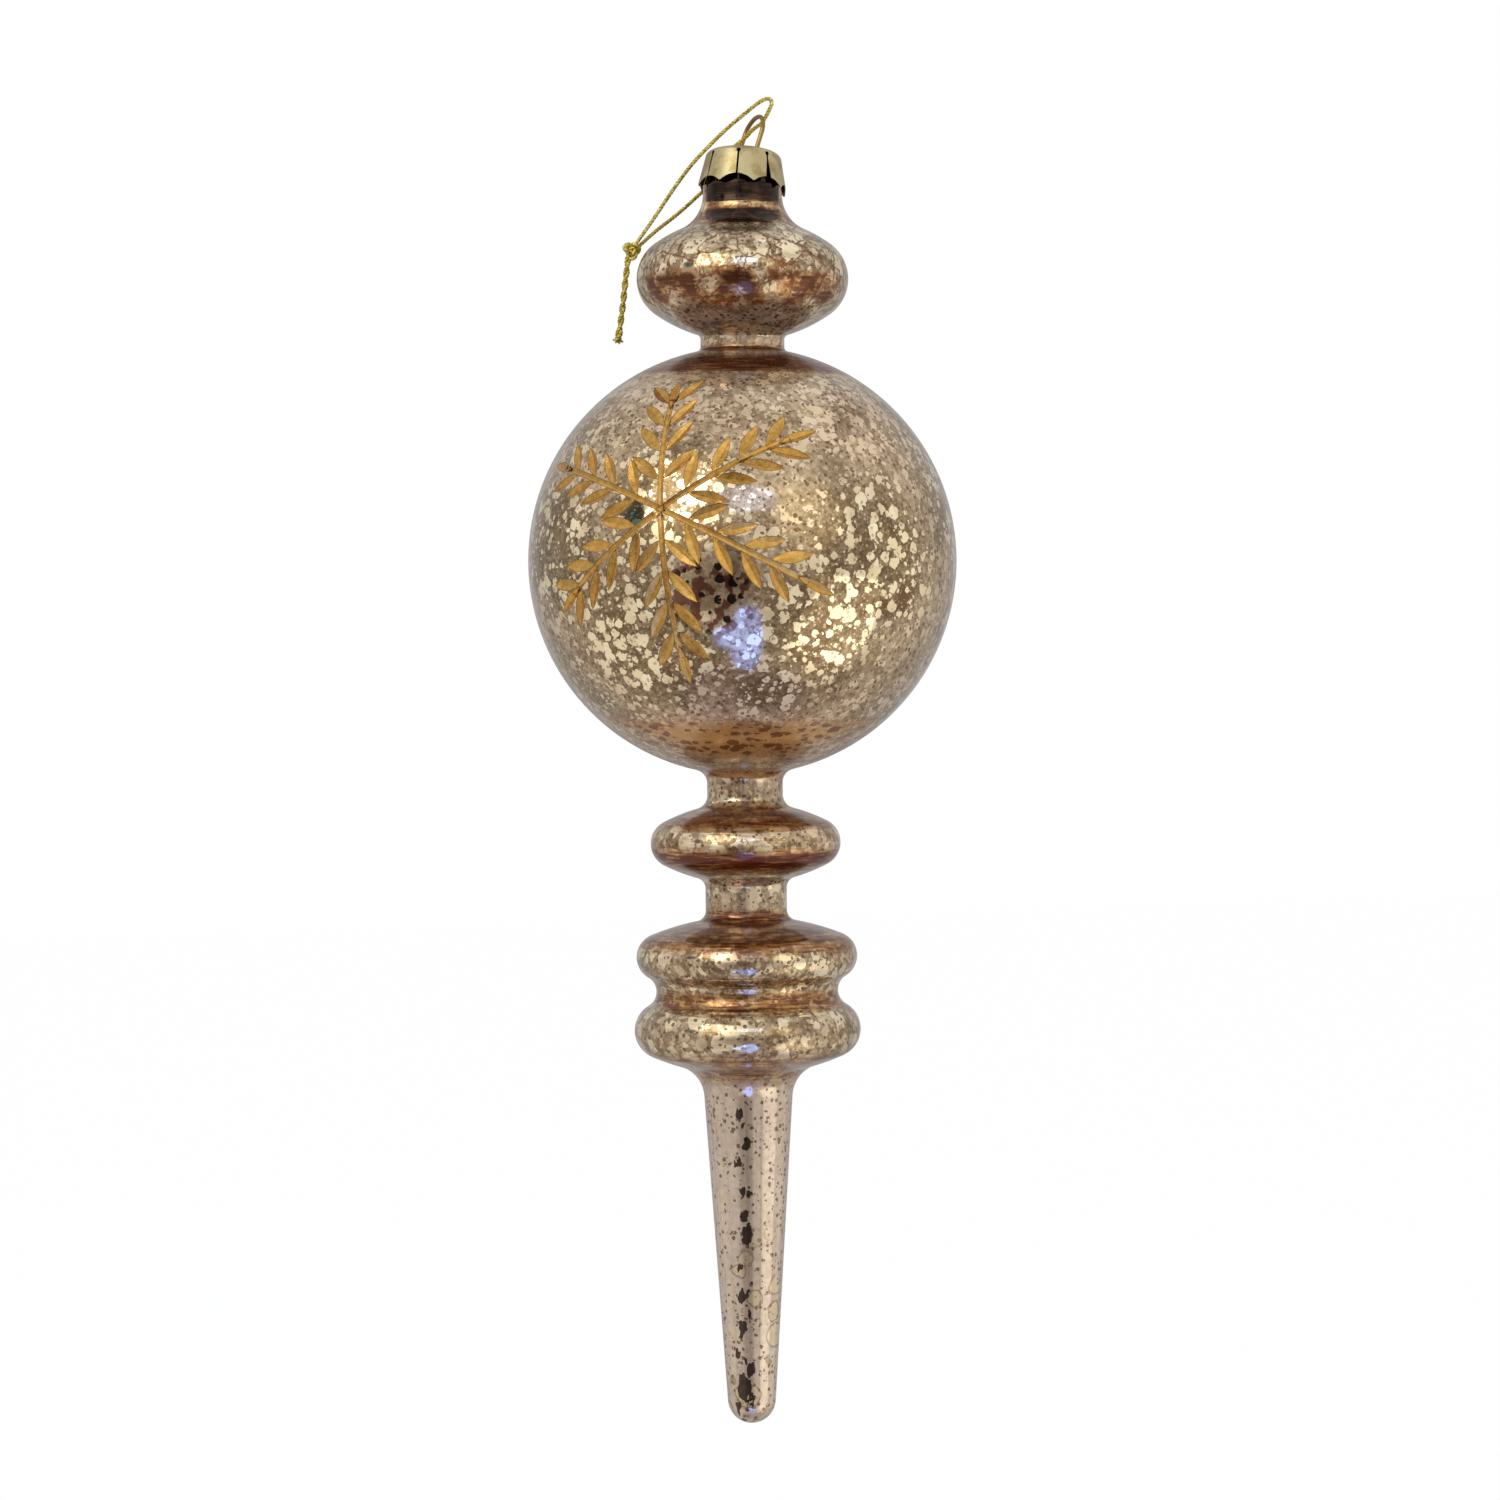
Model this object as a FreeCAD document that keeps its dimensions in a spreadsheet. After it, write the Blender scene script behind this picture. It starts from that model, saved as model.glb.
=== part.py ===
import FreeCAD, Part

import math
import os

import Sketcher
from FreeCAD import Placement, Rotation, Vector

# Blown glass finial ornament: one hollow glass body with a snowflake cut into its ball, a pressed
# metal cap over the open neck, a spring wire hanger and a thread loop that ends in a knot.
# The frame: millimetres, +Z up, the ornament hangs. The origin is the inside top of the wire loop,
# where a hook carries the weight, and the hook's way through the loop is along X.

doc = FreeCAD.newDocument("finial_ornament")
sheet = doc.addObject("Spreadsheet::Sheet", "Sizes")

# Each row is a size of its own, or a formula for one that follows from others. The ornament is a
# chain that starts at the ball: each neck has a length, each bead stands on its neck, and the cap
# and the wire sit on the mouth. A bead's middle stands off its neck's end by a height that follows
# from the bead's flank and rim and the fillet between them.
def bead_half(bead, fillet, neck):
    flank_end = f"sqrt(({bead}_flank + {fillet})^2 - ({neck} + {fillet})^2)"
    flank_centre_off = f"sqrt(({bead}_flank - {bead}_rim)^2 - ({bead}_radius - {bead}_rim)^2)"
    return f"{flank_end} - {flank_centre_off}"


def ball_end(fillet, neck):
    return f"sqrt((ball_radius + {fillet})^2 - ({neck} + {fillet})^2)"


SIZES = [
    # where the ornament's axis lies, how far the neck's mouth hangs under the origin, and the glass
    ("axis_x", -4.0), ("mouth_drop", 11.4), ("glass_wall", 1.5),
    # the ball, the neck on it, and the bead over it: widest radius, rim roundness, flank roundness
    ("ball_radius", 50.0),
    ("upper_neck_radius", 9.8), ("upper_neck_fillet", 1.2), ("upper_neck_length", 1.729),
    ("upper_bead_radius", 24.73), ("upper_bead_rim", 9.95), ("upper_bead_flank", 35.7),
    ("upper_bead_height", "=" + ball_end("upper_neck_fillet", "upper_neck_radius")
     + " + upper_neck_length + " + bead_half("upper_bead", "upper_neck_fillet", "upper_neck_radius")),
    # the throat that the cap grips, its narrower mouth, and its flare into the bead
    ("throat_radius", 9.25), ("mouth_tuck", 1.65), ("mouth_radius", "=throat_radius - mouth_tuck"),
    ("flare_radius", 9.0), ("throat_length", 2.011), ("lip_height", 4.5),
    ("throat_height", "=upper_bead_height + " + bead_half("upper_bead", "flare_radius", "throat_radius")
     + " + throat_length"),
    ("mouth_height", "=throat_height + lip_height"),
    ("ball_drop", "=mouth_drop + mouth_height"),
    # the neck and the bead under the ball
    ("ball_neck_radius", 8.85), ("ball_neck_fillet", 3.2), ("ball_neck_length", 2.838),
    ("lower_bead_radius", 22.18), ("lower_bead_rim", 5.66), ("lower_bead_flank", 41.9),
    ("lower_bead_drop", "=" + ball_end("ball_neck_fillet", "ball_neck_radius")
     + " + ball_neck_length + " + bead_half("lower_bead", "ball_neck_fillet", "ball_neck_radius")),
    # the next neck, the double bead under it, and the waist between its two lobes
    ("lobe_neck_radius", 9.5), ("lobe_neck_fillet", 2.6), ("lobe_neck_length", 5.111),
    ("first_lobe_radius", 25.77), ("first_lobe_rim", 5.4), ("first_lobe_flank", 60.0),
    ("first_lobe_drop", "=lower_bead_drop + " + bead_half("lower_bead", "lobe_neck_fillet", "lobe_neck_radius")
     + " + lobe_neck_length + " + bead_half("first_lobe", "lobe_neck_fillet", "lobe_neck_radius")),
    ("second_lobe_radius", 26.4), ("second_lobe_rim", 6.5), ("second_lobe_flank", 56.3),
    ("lobe_pitch", 17.1), ("second_lobe_drop", "=first_lobe_drop + lobe_pitch"),
    ("lobe_waist_fillet", 4.0),
    # the long drop: fillet under the double bead, taper in degrees, rounded end
    ("stem_fillet", 8.0), ("stem_taper", 3.8), ("tip_radius", 5.6),
    ("drop_length", 91.9), ("tip_drop", "=second_lobe_drop + drop_length"),
    # the lower half leans a little, as blown by hand, across the front view, which is turned from -Y
    ("lean_angle", 0.65), ("front_turn", -26.7),
    # the cut snowflake: where its middle lies on the ball and how its arms are turned, in degrees
    ("flake_turn", -48.6), ("flake_rise", 12.4), ("flake_roll", 36.3),
    # its cuts: lengths along the ball, widths across, and the slope of the V that the wheel leaves
    ("leaf_length", 10.0), ("leaf_width", 3.0), ("leaf_pitch", 7.0), ("leaf_foot", 0.5),
    ("leaf_pairs", 4), ("leaf_angle", 38.0), ("inner_leaf_angle", 46.0), ("groove_slope", 24.0),
    ("stem_width", 1.5), ("stem_short", 7.0), ("tip_leaf_length", 10.0), ("tip_leaf_width", 2.5),
    # how far each arm reaches from the middle, beginning at the upper right and going round leftwards
    ("arm_1_reach", 41.0), ("arm_2_reach", 36.5), ("arm_3_reach", 42.0), ("arm_4_reach", 38.5),
    ("arm_5_reach", 41.5), ("arm_6_reach", 45.0),
    # the pressed cap: sheet, crown, flared skirt, and how it sits askew on the neck
    ("cap_sheet", 0.3), ("cap_rise", 2.9), ("cap_drop", "=mouth_drop - cap_rise"),
    ("crown_inset", 0.35), ("crown_radius", "=throat_radius - crown_inset"), ("crown_rounding", 1.3),
    ("skirt_flare", 1.2), ("skirt_radius", "=throat_radius + skirt_flare"), ("skirt_height", 8.8),
    ("cap_lean", 10.5), ("cap_lean_towards", 46.0), ("cap_shift", 1.05),
    # its eight slits with round eyes, and the scallops of its edge
    ("slit_count", 8), ("slit_width", 0.45), ("slit_top", 1.4), ("slit_eye", 0.5), ("slit_turn", 11.0),
    ("sprung_slit_width", 2.0), ("scallop_radius", 5.5), ("scallop_height", 1.5),
    # the spring wire: loop above the crown, and two legs that splay inside the neck
    ("wire_radius", 0.53), ("wire_hole_clearance", 0.25), ("leg_room", 1.17),
    ("loop_radius", "=mouth_radius - glass_wall - wire_radius - leg_room"),
    ("foot_aside", 1.1), ("foot_x", "=axis_x + foot_aside"),
    ("foot_sink", 0.1), ("foot_drop", "=cap_drop + foot_sink"),
    ("knee_drop", 1.8), ("knee_bend", 2.0), ("leg_reach", 12.5), ("leg_clearance", 0.3),
    # the thread, its knot, and its two ends twisted together below the knot
    ("thread_radius", 0.43), ("tail_radius", 0.75), ("knot_half_width", 2.1), ("knot_half_height", 2.6),
]


def put_size(row, alias, value):
    sheet.set(f"A{row}", alias)
    sheet.set(f"B{row}", str(value))
    sheet.setAlias(f"B{row}", alias)


for row, (alias, value) in enumerate(SIZES, start=1):
    put_size(row, alias, value)
doc.recompute()


def size(alias):
    return float(getattr(sheet, alias))


def origin_part(body, role):
    return next(part for part in body.Origin.OriginFeatures if part.Role == role)


def new_body(name, label):
    body = doc.addObject("PartDesign::Body", name)
    body.Label = label
    return body


def new_sketch(body, name, plane, offset=Placement()):
    sketch = body.newObject("Sketcher::SketchObject", name)
    sketch.AttachmentSupport = [(origin_part(body, plane), "")]
    sketch.MapMode = "FlatFace"
    sketch.AttachmentOffset = offset
    return sketch


# The outline of turned glass is a chain of straight lines and round arcs, each tangent to the next
# unless a corner is meant. The helpers below work out the tangent points, and the sketch then
# holds the chain by its radii, centres and tangencies.

# a sketch numbers the places on a piece of geometry 1 to 3, and its own origin and upright axis -1, -2
START, END, CENTRE = range(1, 4)
ORIGIN, AXIS_LINE = range(-1, -3, -1)
ORIGIN_POINT = (ORIGIN, START)


def arc_between(centre, radius, first, last, clockwise):
    """An arc of a circle from one point to another, seen with the axis to the left."""
    angles = [math.atan2(p.y - centre.y, p.x - centre.x) for p in (first, last)]
    if clockwise:
        angles.reverse()
    circle = Part.Circle(centre, Vector(0, 0, 1), radius)
    return Part.ArcOfCircle(circle, angles[0], angles[1])


def flank_centre(rim_centre, rim, flank, above):
    """The centre, on the axis, of a bead's flank that touches the bead's rim from outside."""
    along = math.sqrt((flank - rim) ** 2 - rim_centre.x**2)
    return Vector(0, rim_centre.y - along if above else rim_centre.y + along)


def touch(centre, other, radius):
    """The point of a circle in line with another circle's centre."""
    return centre + (other - centre).normalize() * radius


def fillet_centre(centre, radius, foot, way, outward, fillet):
    """The centre of a fillet between a circle's outside and the line through foot along way."""
    start = foot + outward * fillet - centre
    reach = radius + fillet
    along = start.dot(way)
    return centre + start + way * (-along + math.sqrt(along**2 - start.dot(start) + reach**2))


class Outline:
    """A closed sketch outline, made in order from the axis and back to it."""

    def __init__(self, sketch):
        self.sketch = sketch
        self.pieces = []

    def line(self, first, last):
        self.pieces.append(("line", first, last))
        return self.sketch.addGeometry(Part.LineSegment(first, last), False)

    def arc(self, centre, radius, first, last, clockwise=True):
        self.pieces.append(("clockwise" if clockwise else "counter", first, last))
        return self.sketch.addGeometry(arc_between(centre, radius, first, last, clockwise), False)

    def ends(self, index):
        return (END, START) if self.pieces[index][0] == "clockwise" else (START, END)

    def join(self, tangent):
        """Ties each piece's end to the next one's start; tangent lists the pieces that flow on."""
        count = len(self.pieces)
        for index in range(count):
            after = (index + 1) % count
            kind = "Tangent" if index in tangent else "Coincident"
            places = (index, self.ends(index)[1], after, self.ends(after)[0])
            self.sketch.addConstraint(Sketcher.Constraint(kind, *places))

    def bind(self, formula, kind, *places):
        """A dimension held by a formula of the sheet's sizes; its first value is the drawn one."""
        drawn = self.drawn(kind, places)
        index = self.sketch.addConstraint(Sketcher.Constraint(kind, *places, drawn))
        self.sketch.setExpression(f"Constraints[{index}]", formula)

    def drawn(self, kind, places):
        if kind == "Radius":
            return self.sketch.Geometry[places[0]].Radius
        point = self.sketch.getPoint(places[-2], places[-1])
        return point.x if kind == "DistanceX" else point.y

    def centre(self, index, x_formula, y_formula):
        for kind, formula in (("DistanceX", x_formula), ("DistanceY", y_formula)):
            if formula is None:
                continue
            self.bind(formula, kind, *ORIGIN_POINT, index, CENTRE)

    def on_axis(self, index, point=CENTRE):
        self.sketch.addConstraint(Sketcher.Constraint("PointOnObject", index, point, AXIS_LINE))


def upright(sketch, *lines):
    for line in lines:
        sketch.addConstraint(Sketcher.Constraint("Vertical", line))


DOWN, UP, OUTWARD = Vector(0, -1, 0), Vector(0, 1, 0), Vector(1, 0, 0)
LESS_WALL, PLUS_WALL = " - Sizes.glass_wall", " + Sizes.glass_wall"


def bead(prefix, height):
    """Rim centre, upper and lower flank centres and the outer radii of one bead."""
    radius, rim, flank = (size(f"{prefix}_{word}") for word in ("radius", "rim", "flank"))
    middle = Vector(radius - rim, height, 0)
    return middle, flank_centre(middle, rim, flank, True), flank_centre(middle, rim, flank, False), rim, flank


def draw_upper_outline(sketch, wall=0.0):
    """Mouth, throat, flare, upper bead, neck and the whole ball; with a wall, the hollow inside them.

    The hollow's arcs share the outside's centres, so the wall is even everywhere.
    """
    less, plus = (LESS_WALL, PLUS_WALL) if wall else ("", "")
    mouth = Vector(size("mouth_radius") - wall, size("mouth_height") + wall, 0)
    throat = Vector(size("throat_radius") - wall, size("throat_height"), 0)
    middle, above, below, rim, flank = bead("upper_bead", size("upper_bead_height"))
    rim, flank = rim - wall, flank - wall
    neck = Vector(size("upper_neck_radius") - wall, 0, 0)
    ball, flare = size("ball_radius") - wall, size("flare_radius") + wall
    fillet = size("upper_neck_fillet") + wall
    flare_at = fillet_centre(above, flank, throat, UP, OUTWARD, flare)
    under_bead = fillet_centre(below, flank, neck, DOWN, OUTWARD, fillet)
    over_ball = fillet_centre(Vector(0, 0, 0), ball, neck, UP, OUTWARD, fillet)
    rim_top = touch(middle, above, -rim)
    rim_foot = touch(middle, below, -rim)

    outline = Outline(sketch)
    outline.line(Vector(0, mouth.y, 0), mouth)
    outline.line(mouth, throat)
    outline.line(throat, Vector(throat.x, flare_at.y, 0))
    outline.arc(flare_at, flare, Vector(throat.x, flare_at.y, 0), touch(flare_at, above, flare), False)
    outline.arc(above, flank, touch(flare_at, above, flare), rim_top)
    outline.arc(middle, rim, rim_top, rim_foot)
    outline.arc(below, flank, rim_foot, touch(under_bead, below, fillet))
    outline.arc(under_bead, fillet, touch(under_bead, below, fillet), Vector(neck.x, under_bead.y, 0), False)
    outline.line(Vector(neck.x, under_bead.y, 0), Vector(neck.x, over_ball.y, 0))
    ball_top = touch(over_ball, Vector(0, 0, 0), fillet)
    outline.arc(over_ball, fillet, Vector(neck.x, over_ball.y, 0), ball_top, False)
    outline.arc(Vector(0, 0, 0), ball, ball_top, Vector(0, -ball, 0))
    outline.line(Vector(0, -ball, 0), Vector(0, mouth.y, 0))
    outline.join(tangent=[2, 3, 4, 5, 6, 7, 8, 9])

    sketch.addConstraint(Sketcher.Constraint("Horizontal", 0))
    upright(sketch, 2, 8, 11)
    outline.on_axis(0, START)
    outline.bind("Sizes.mouth_radius" + less, "DistanceX", *ORIGIN_POINT, 0, END)
    outline.bind("Sizes.mouth_height" + plus, "DistanceY", *ORIGIN_POINT, 0, END)
    outline.bind("Sizes.throat_radius" + less, "DistanceX", *ORIGIN_POINT, 1, END)
    outline.bind("Sizes.throat_height", "DistanceY", *ORIGIN_POINT, 1, END)
    outline.bind("Sizes.upper_neck_radius" + less, "DistanceX", *ORIGIN_POINT, 8, START)
    for index, name, change in ((3, "flare_radius", plus), (4, "upper_bead_flank", less),
                                (5, "upper_bead_rim", less), (6, "upper_bead_flank", less),
                                (7, "upper_neck_fillet", plus), (9, "upper_neck_fillet", plus),
                                (10, "ball_radius", less)):
        outline.bind(f"Sizes.{name}{change}", "Radius", index)
    outline.centre(5, "Sizes.upper_bead_radius - Sizes.upper_bead_rim", "Sizes.upper_bead_height")
    outline.on_axis(4)
    outline.on_axis(6)
    sketch.addConstraint(Sketcher.Constraint("Coincident", 10, CENTRE, *ORIGIN_POINT))


def draw_lower_outline(sketch, wall=0.0):
    """From inside the ball: neck, lower bead, neck, double bead and the drop; or the hollow in them."""
    less, plus = (LESS_WALL, PLUS_WALL) if wall else ("", "")
    ball_neck = Vector(size("ball_neck_radius") - wall, 0, 0)
    start = size("ball_neck_radius") - size("ball_radius")
    middle, above, below, rim, flank = bead("lower_bead", -size("lower_bead_drop"))
    lobe_neck = Vector(size("lobe_neck_radius") - wall, 0, 0)
    first, first_above, _, first_rim, first_flank = bead("first_lobe", -size("first_lobe_drop"))
    second, _, second_below, second_rim, second_flank = bead("second_lobe", -size("second_lobe_drop"))
    rim, flank, first_rim, first_flank = rim - wall, flank - wall, first_rim - wall, first_flank - wall
    second_rim, second_flank = second_rim - wall, second_flank - wall
    fillet, lobe_fillet = size("ball_neck_fillet") + wall, size("lobe_neck_fillet") + wall
    waist, stem_fillet = size("lobe_waist_fillet") + wall, size("stem_fillet") + wall
    tip, tip_at = size("tip_radius") - wall, Vector(0, size("tip_radius") - size("tip_drop"), 0)
    tip_end = tip_at - Vector(0, tip, 0)
    taper = math.radians(size("stem_taper"))
    stem_way = Vector(math.sin(taper), math.cos(taper), 0)
    stem_out = Vector(math.cos(taper), -math.sin(taper), 0)
    stem_foot = tip_at + stem_out * tip

    over_bead = fillet_centre(above, flank, ball_neck, UP, OUTWARD, fillet)
    under_bead = fillet_centre(below, flank, lobe_neck, DOWN, OUTWARD, lobe_fillet)
    over_lobe = fillet_centre(first_above, first_flank, lobe_neck, UP, OUTWARD, lobe_fillet)
    stem_head = fillet_centre(second_below, second_flank, stem_foot, -stem_way, stem_out, stem_fillet)
    # the waist arc touches both lobes' rims from outside
    apart = (second - first).Length
    near, far = first_rim + waist, second_rim + waist
    along = (near**2 - far**2 + apart**2) / (2 * apart)
    way = (second - first).normalize()
    side = Vector(-way.y, way.x, 0)
    waist_at = first + way * along + side * math.sqrt(near**2 - along**2)

    outline = Outline(sketch)
    outline.line(Vector(0, start, 0), Vector(ball_neck.x, start, 0))
    outline.line(Vector(ball_neck.x, start, 0), Vector(ball_neck.x, over_bead.y, 0))
    outline.arc(over_bead, fillet, Vector(ball_neck.x, over_bead.y, 0),
                touch(over_bead, above, fillet), False)
    outline.arc(above, flank, touch(over_bead, above, fillet), touch(middle, above, -rim))
    outline.arc(middle, rim, touch(middle, above, -rim), touch(middle, below, -rim))
    outline.arc(below, flank, touch(middle, below, -rim), touch(under_bead, below, lobe_fillet))
    outline.arc(under_bead, lobe_fillet, touch(under_bead, below, lobe_fillet),
                Vector(lobe_neck.x, under_bead.y, 0), False)
    outline.line(Vector(lobe_neck.x, under_bead.y, 0), Vector(lobe_neck.x, over_lobe.y, 0))
    outline.arc(over_lobe, lobe_fillet, Vector(lobe_neck.x, over_lobe.y, 0),
                touch(over_lobe, first_above, lobe_fillet), False)
    outline.arc(first_above, first_flank, touch(over_lobe, first_above, lobe_fillet),
                touch(first, first_above, -first_rim))
    outline.arc(first, first_rim, touch(first, first_above, -first_rim), touch(first, waist_at, first_rim))
    outline.arc(waist_at, waist, touch(first, waist_at, first_rim),
                touch(second, waist_at, second_rim), False)
    outline.arc(second, second_rim, touch(second, waist_at, second_rim),
                touch(second, second_below, -second_rim))
    outline.arc(second_below, second_flank, touch(second, second_below, -second_rim),
                touch(stem_head, second_below, stem_fillet))
    outline.arc(stem_head, stem_fillet, touch(stem_head, second_below, stem_fillet),
                stem_head - stem_out * stem_fillet, False)
    outline.line(stem_head - stem_out * stem_fillet, stem_foot)
    outline.arc(tip_at, tip, stem_foot, tip_end)
    outline.line(tip_end, Vector(0, start, 0))
    outline.join(tangent=[1, 2, 3, 4, 5, 6, 7, 8, 9, 10, 11, 12, 13, 14, 15])

    sketch.addConstraint(Sketcher.Constraint("Horizontal", 0))
    upright(sketch, 1, 7, 17)
    outline.on_axis(0, START)
    outline.bind("Sizes.ball_neck_radius" + less, "DistanceX", *ORIGIN_POINT, 0, END)
    outline.bind("Sizes.ball_neck_radius - Sizes.ball_radius", "DistanceY", *ORIGIN_POINT, 0, END)
    outline.bind("Sizes.lobe_neck_radius" + less, "DistanceX", *ORIGIN_POINT, 7, START)
    for index, name, change in ((2, "ball_neck_fillet", plus), (3, "lower_bead_flank", less),
                                (4, "lower_bead_rim", less), (5, "lower_bead_flank", less),
                                (6, "lobe_neck_fillet", plus), (8, "lobe_neck_fillet", plus),
                                (9, "first_lobe_flank", less), (10, "first_lobe_rim", less),
                                (11, "lobe_waist_fillet", plus), (12, "second_lobe_rim", less),
                                (13, "second_lobe_flank", less), (14, "stem_fillet", plus),
                                (16, "tip_radius", less)):
        outline.bind(f"Sizes.{name}{change}", "Radius", index)
    outline.centre(4, "Sizes.lower_bead_radius - Sizes.lower_bead_rim", "-Sizes.lower_bead_drop")
    outline.centre(10, "Sizes.first_lobe_radius - Sizes.first_lobe_rim", "-Sizes.first_lobe_drop")
    outline.centre(12, "Sizes.second_lobe_radius - Sizes.second_lobe_rim", "-Sizes.second_lobe_drop")
    outline.centre(16, None, "Sizes.tip_radius - Sizes.tip_drop")
    for index in (3, 5, 9, 13, 16):
        outline.on_axis(index)
    tip_formula = f"(Sizes.tip_radius{less}) * cos(Sizes.stem_taper * 1 deg)"
    outline.bind(tip_formula, "DistanceX", *ORIGIN_POINT, 15, END)


def turn(body, sketch, name, kind="PartDesign::Revolution"):
    feature = body.newObject(kind, name)
    feature.Profile = sketch
    feature.ReferenceAxis = (sketch, ["V_Axis"])
    feature.Angle = 360
    doc.recompute()
    return feature


def round_edges_at(shape, radius, low, high):
    """Names of the full circles of a given radius whose middle lies between two heights."""
    names = []
    for number, edge in enumerate(shape.Edges, start=1):
        if edge.Degenerated or not isinstance(edge.Curve, Part.Circle):
            continue
        if abs(edge.Curve.Radius - radius) < 1e-3 and low < edge.Curve.Center.z < high:
            names.append(f"Edge{number}")
    return names


# Blown glass: the ball and what lies above it turn about one axis. What hangs under the ball turns
# about an axis through the ball's middle that leans by a fraction of a degree. Its sketch is also
# turned a quarter about that axis, so that the seams of the two turned shapes lie apart.
WALL = size("glass_wall")
QUARTER = Rotation(Vector(0, 1, 0), 90)
glass = new_body("BlownGlass", "blown_glass")
front = math.radians(size("front_turn"))
lean = Rotation(Vector(math.sin(front), 0, math.cos(front)), size("lean_angle"))
leaning = Placement(Vector(), lean * QUARTER)

upper_sketch = new_sketch(glass, "UpperOutline", "XZ_Plane")
draw_upper_outline(upper_sketch)
upper_turn = turn(glass, upper_sketch, "UpperTurn")
lower_sketch = new_sketch(glass, "LowerOutline", "XZ_Plane", leaning)
draw_lower_outline(lower_sketch)
lower_turn = turn(glass, lower_sketch, "LowerTurn")

ball_joint = glass.newObject("PartDesign::Fillet", "BallNeckFillet")
joint_edges = round_edges_at(lower_turn.Shape, size("ball_neck_radius"), -size("ball_radius"), 0)
ball_joint.Base = (lower_turn, joint_edges)
ball_joint.setExpression("Radius", "Sizes.ball_neck_fillet")
doc.recompute()

upper_hollow_sketch = new_sketch(glass, "UpperHollowOutline", "XZ_Plane")
draw_upper_outline(upper_hollow_sketch, WALL)
turn(glass, upper_hollow_sketch, "UpperHollow", "PartDesign::Groove")
lower_hollow_sketch = new_sketch(glass, "LowerHollowOutline", "XZ_Plane", leaning)
draw_lower_outline(lower_hollow_sketch, WALL)
turn(glass, lower_hollow_sketch, "LowerHollow", "PartDesign::Groove")
glass.Placement = Placement(Vector(size("axis_x"), 0, -size("ball_drop")), Rotation())
doc.recompute()


# The snowflake is cut with a V-edged wheel. Each leaf is one dip of a small wheel, so it is lens
# shaped with a crease along its middle. Each pair of opposite stems is one V groove that runs round
# the ball through the middle of the snowflake, and a longer dip ends each arm.
BALL = size("ball_radius")
SLOPE = math.tan(math.radians(size("groove_slope")))
CLEAR = 0.2
END_MARGIN = math.radians(1.2)

turned, rise = math.radians(size("flake_turn")), math.radians(size("flake_rise"))
FLAKE_RIGHT = Vector(math.cos(turned), math.sin(turned), 0)
level = Vector(math.sin(turned), -math.cos(turned), 0)
FLAKE_OUT = level * math.cos(rise) + Vector(0, 0, math.sin(rise))
FLAKE_UP = Vector(0, 0, math.cos(rise)) - level * math.sin(rise)


def on_ball(along, aside, bearing):
    """The way from the ball's middle to a place given along an arm and aside from it."""
    swing = math.radians(bearing) + math.atan2(aside, along)
    angle = math.hypot(along, aside) / BALL
    way = FLAKE_RIGHT * math.cos(swing) + FLAKE_UP * math.sin(swing)
    return FLAKE_OUT * math.cos(angle) + way * math.sin(angle)


def v_section(out, side, depth):
    """The wheel's triangular edge, standing in the glass with its apex down."""
    height = depth + CLEAR
    base = out * (BALL - depth + height)
    half = side * (height / SLOPE)
    return Part.Face(Part.makePolygon([out * (BALL - depth), base + half, base - half, out * (BALL - depth)]))


def wheel_dip(foot, tip, length, width):
    """The shape a wheel takes out when it is dipped into the ball along a leaf."""
    out = (foot + tip).normalize()
    side = out.cross(tip - foot).normalize()
    depth = width / 2 * SLOPE
    wheel = 1 / (2 * depth / (length / 2) ** 2 - 1 / BALL)
    hub = out * (BALL + wheel - depth)
    half_angle = math.degrees(math.asin(length / 2 / wheel) + END_MARGIN)
    section = v_section(out, side, depth)
    section.rotate(hub, side, -half_angle)
    return section.revolve(hub, side, 2 * half_angle)


def wheel_run(bearing, back, ahead):
    """A groove that runs round the ball through the snowflake's middle."""
    way = on_ball(ahead, 0, bearing)
    side = FLAKE_OUT.cross(way).normalize()
    section = v_section(FLAKE_OUT, side, size("stem_width") / 2 * SLOPE)
    section.rotate(Vector(), side, -math.degrees(back / BALL))
    return section.revolve(Vector(), side, math.degrees((back + ahead) / BALL))


cuts = []
reaches = [size(f"arm_{number}_reach") for number in range(1, 7)]
ARM_STEP = 360 / len(reaches)
for number, reach in enumerate(reaches):
    bearing = size("flake_roll") + ARM_STEP * number
    for pair in range(1, int(size("leaf_pairs")) + 1):
        splay = math.radians(size("inner_leaf_angle") if pair == 1 else size("leaf_angle"))
        along, aside = pair * size("leaf_pitch"), size("leaf_foot")
        end_along = along + size("leaf_length") * math.cos(splay)
        end_aside = aside + size("leaf_length") * math.sin(splay)
        for hand in (1, -1):
            foot = on_ball(along, hand * aside, bearing)
            tip = on_ball(end_along, hand * end_aside, bearing)
            cuts.append(wheel_dip(foot, tip, size("leaf_length"), size("leaf_width")))
    foot, tip = on_ball(reach - size("tip_leaf_length"), 0, bearing), on_ball(reach, 0, bearing)
    cuts.append(wheel_dip(foot, tip, size("tip_leaf_length"), size("tip_leaf_width")))
for number, (reach, opposite) in enumerate(zip(reaches[:3], reaches[3:])):
    bearing = size("flake_roll") + ARM_STEP * number
    ahead, back = reach - size("stem_short"), opposite - size("stem_short")
    cuts.append(wheel_run(bearing, back, ahead))

wheel_cuts = []
for number, shape in enumerate(cuts, start=1):
    cut = doc.addObject("Part::Feature", f"WheelCut{number:02d}")
    cut.Shape = shape
    cut.Placement = glass.Placement
    wheel_cuts.append(cut)
all_cuts = doc.addObject("Part::MultiFuse", "WheelCuts")
all_cuts.Shapes = wheel_cuts
cut_glass = doc.addObject("Part::Cut", "CutGlass")
cut_glass.Base = glass
cut_glass.Tool = all_cuts
cut_glass.Label = "glass_body"
doc.recompute()


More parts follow.
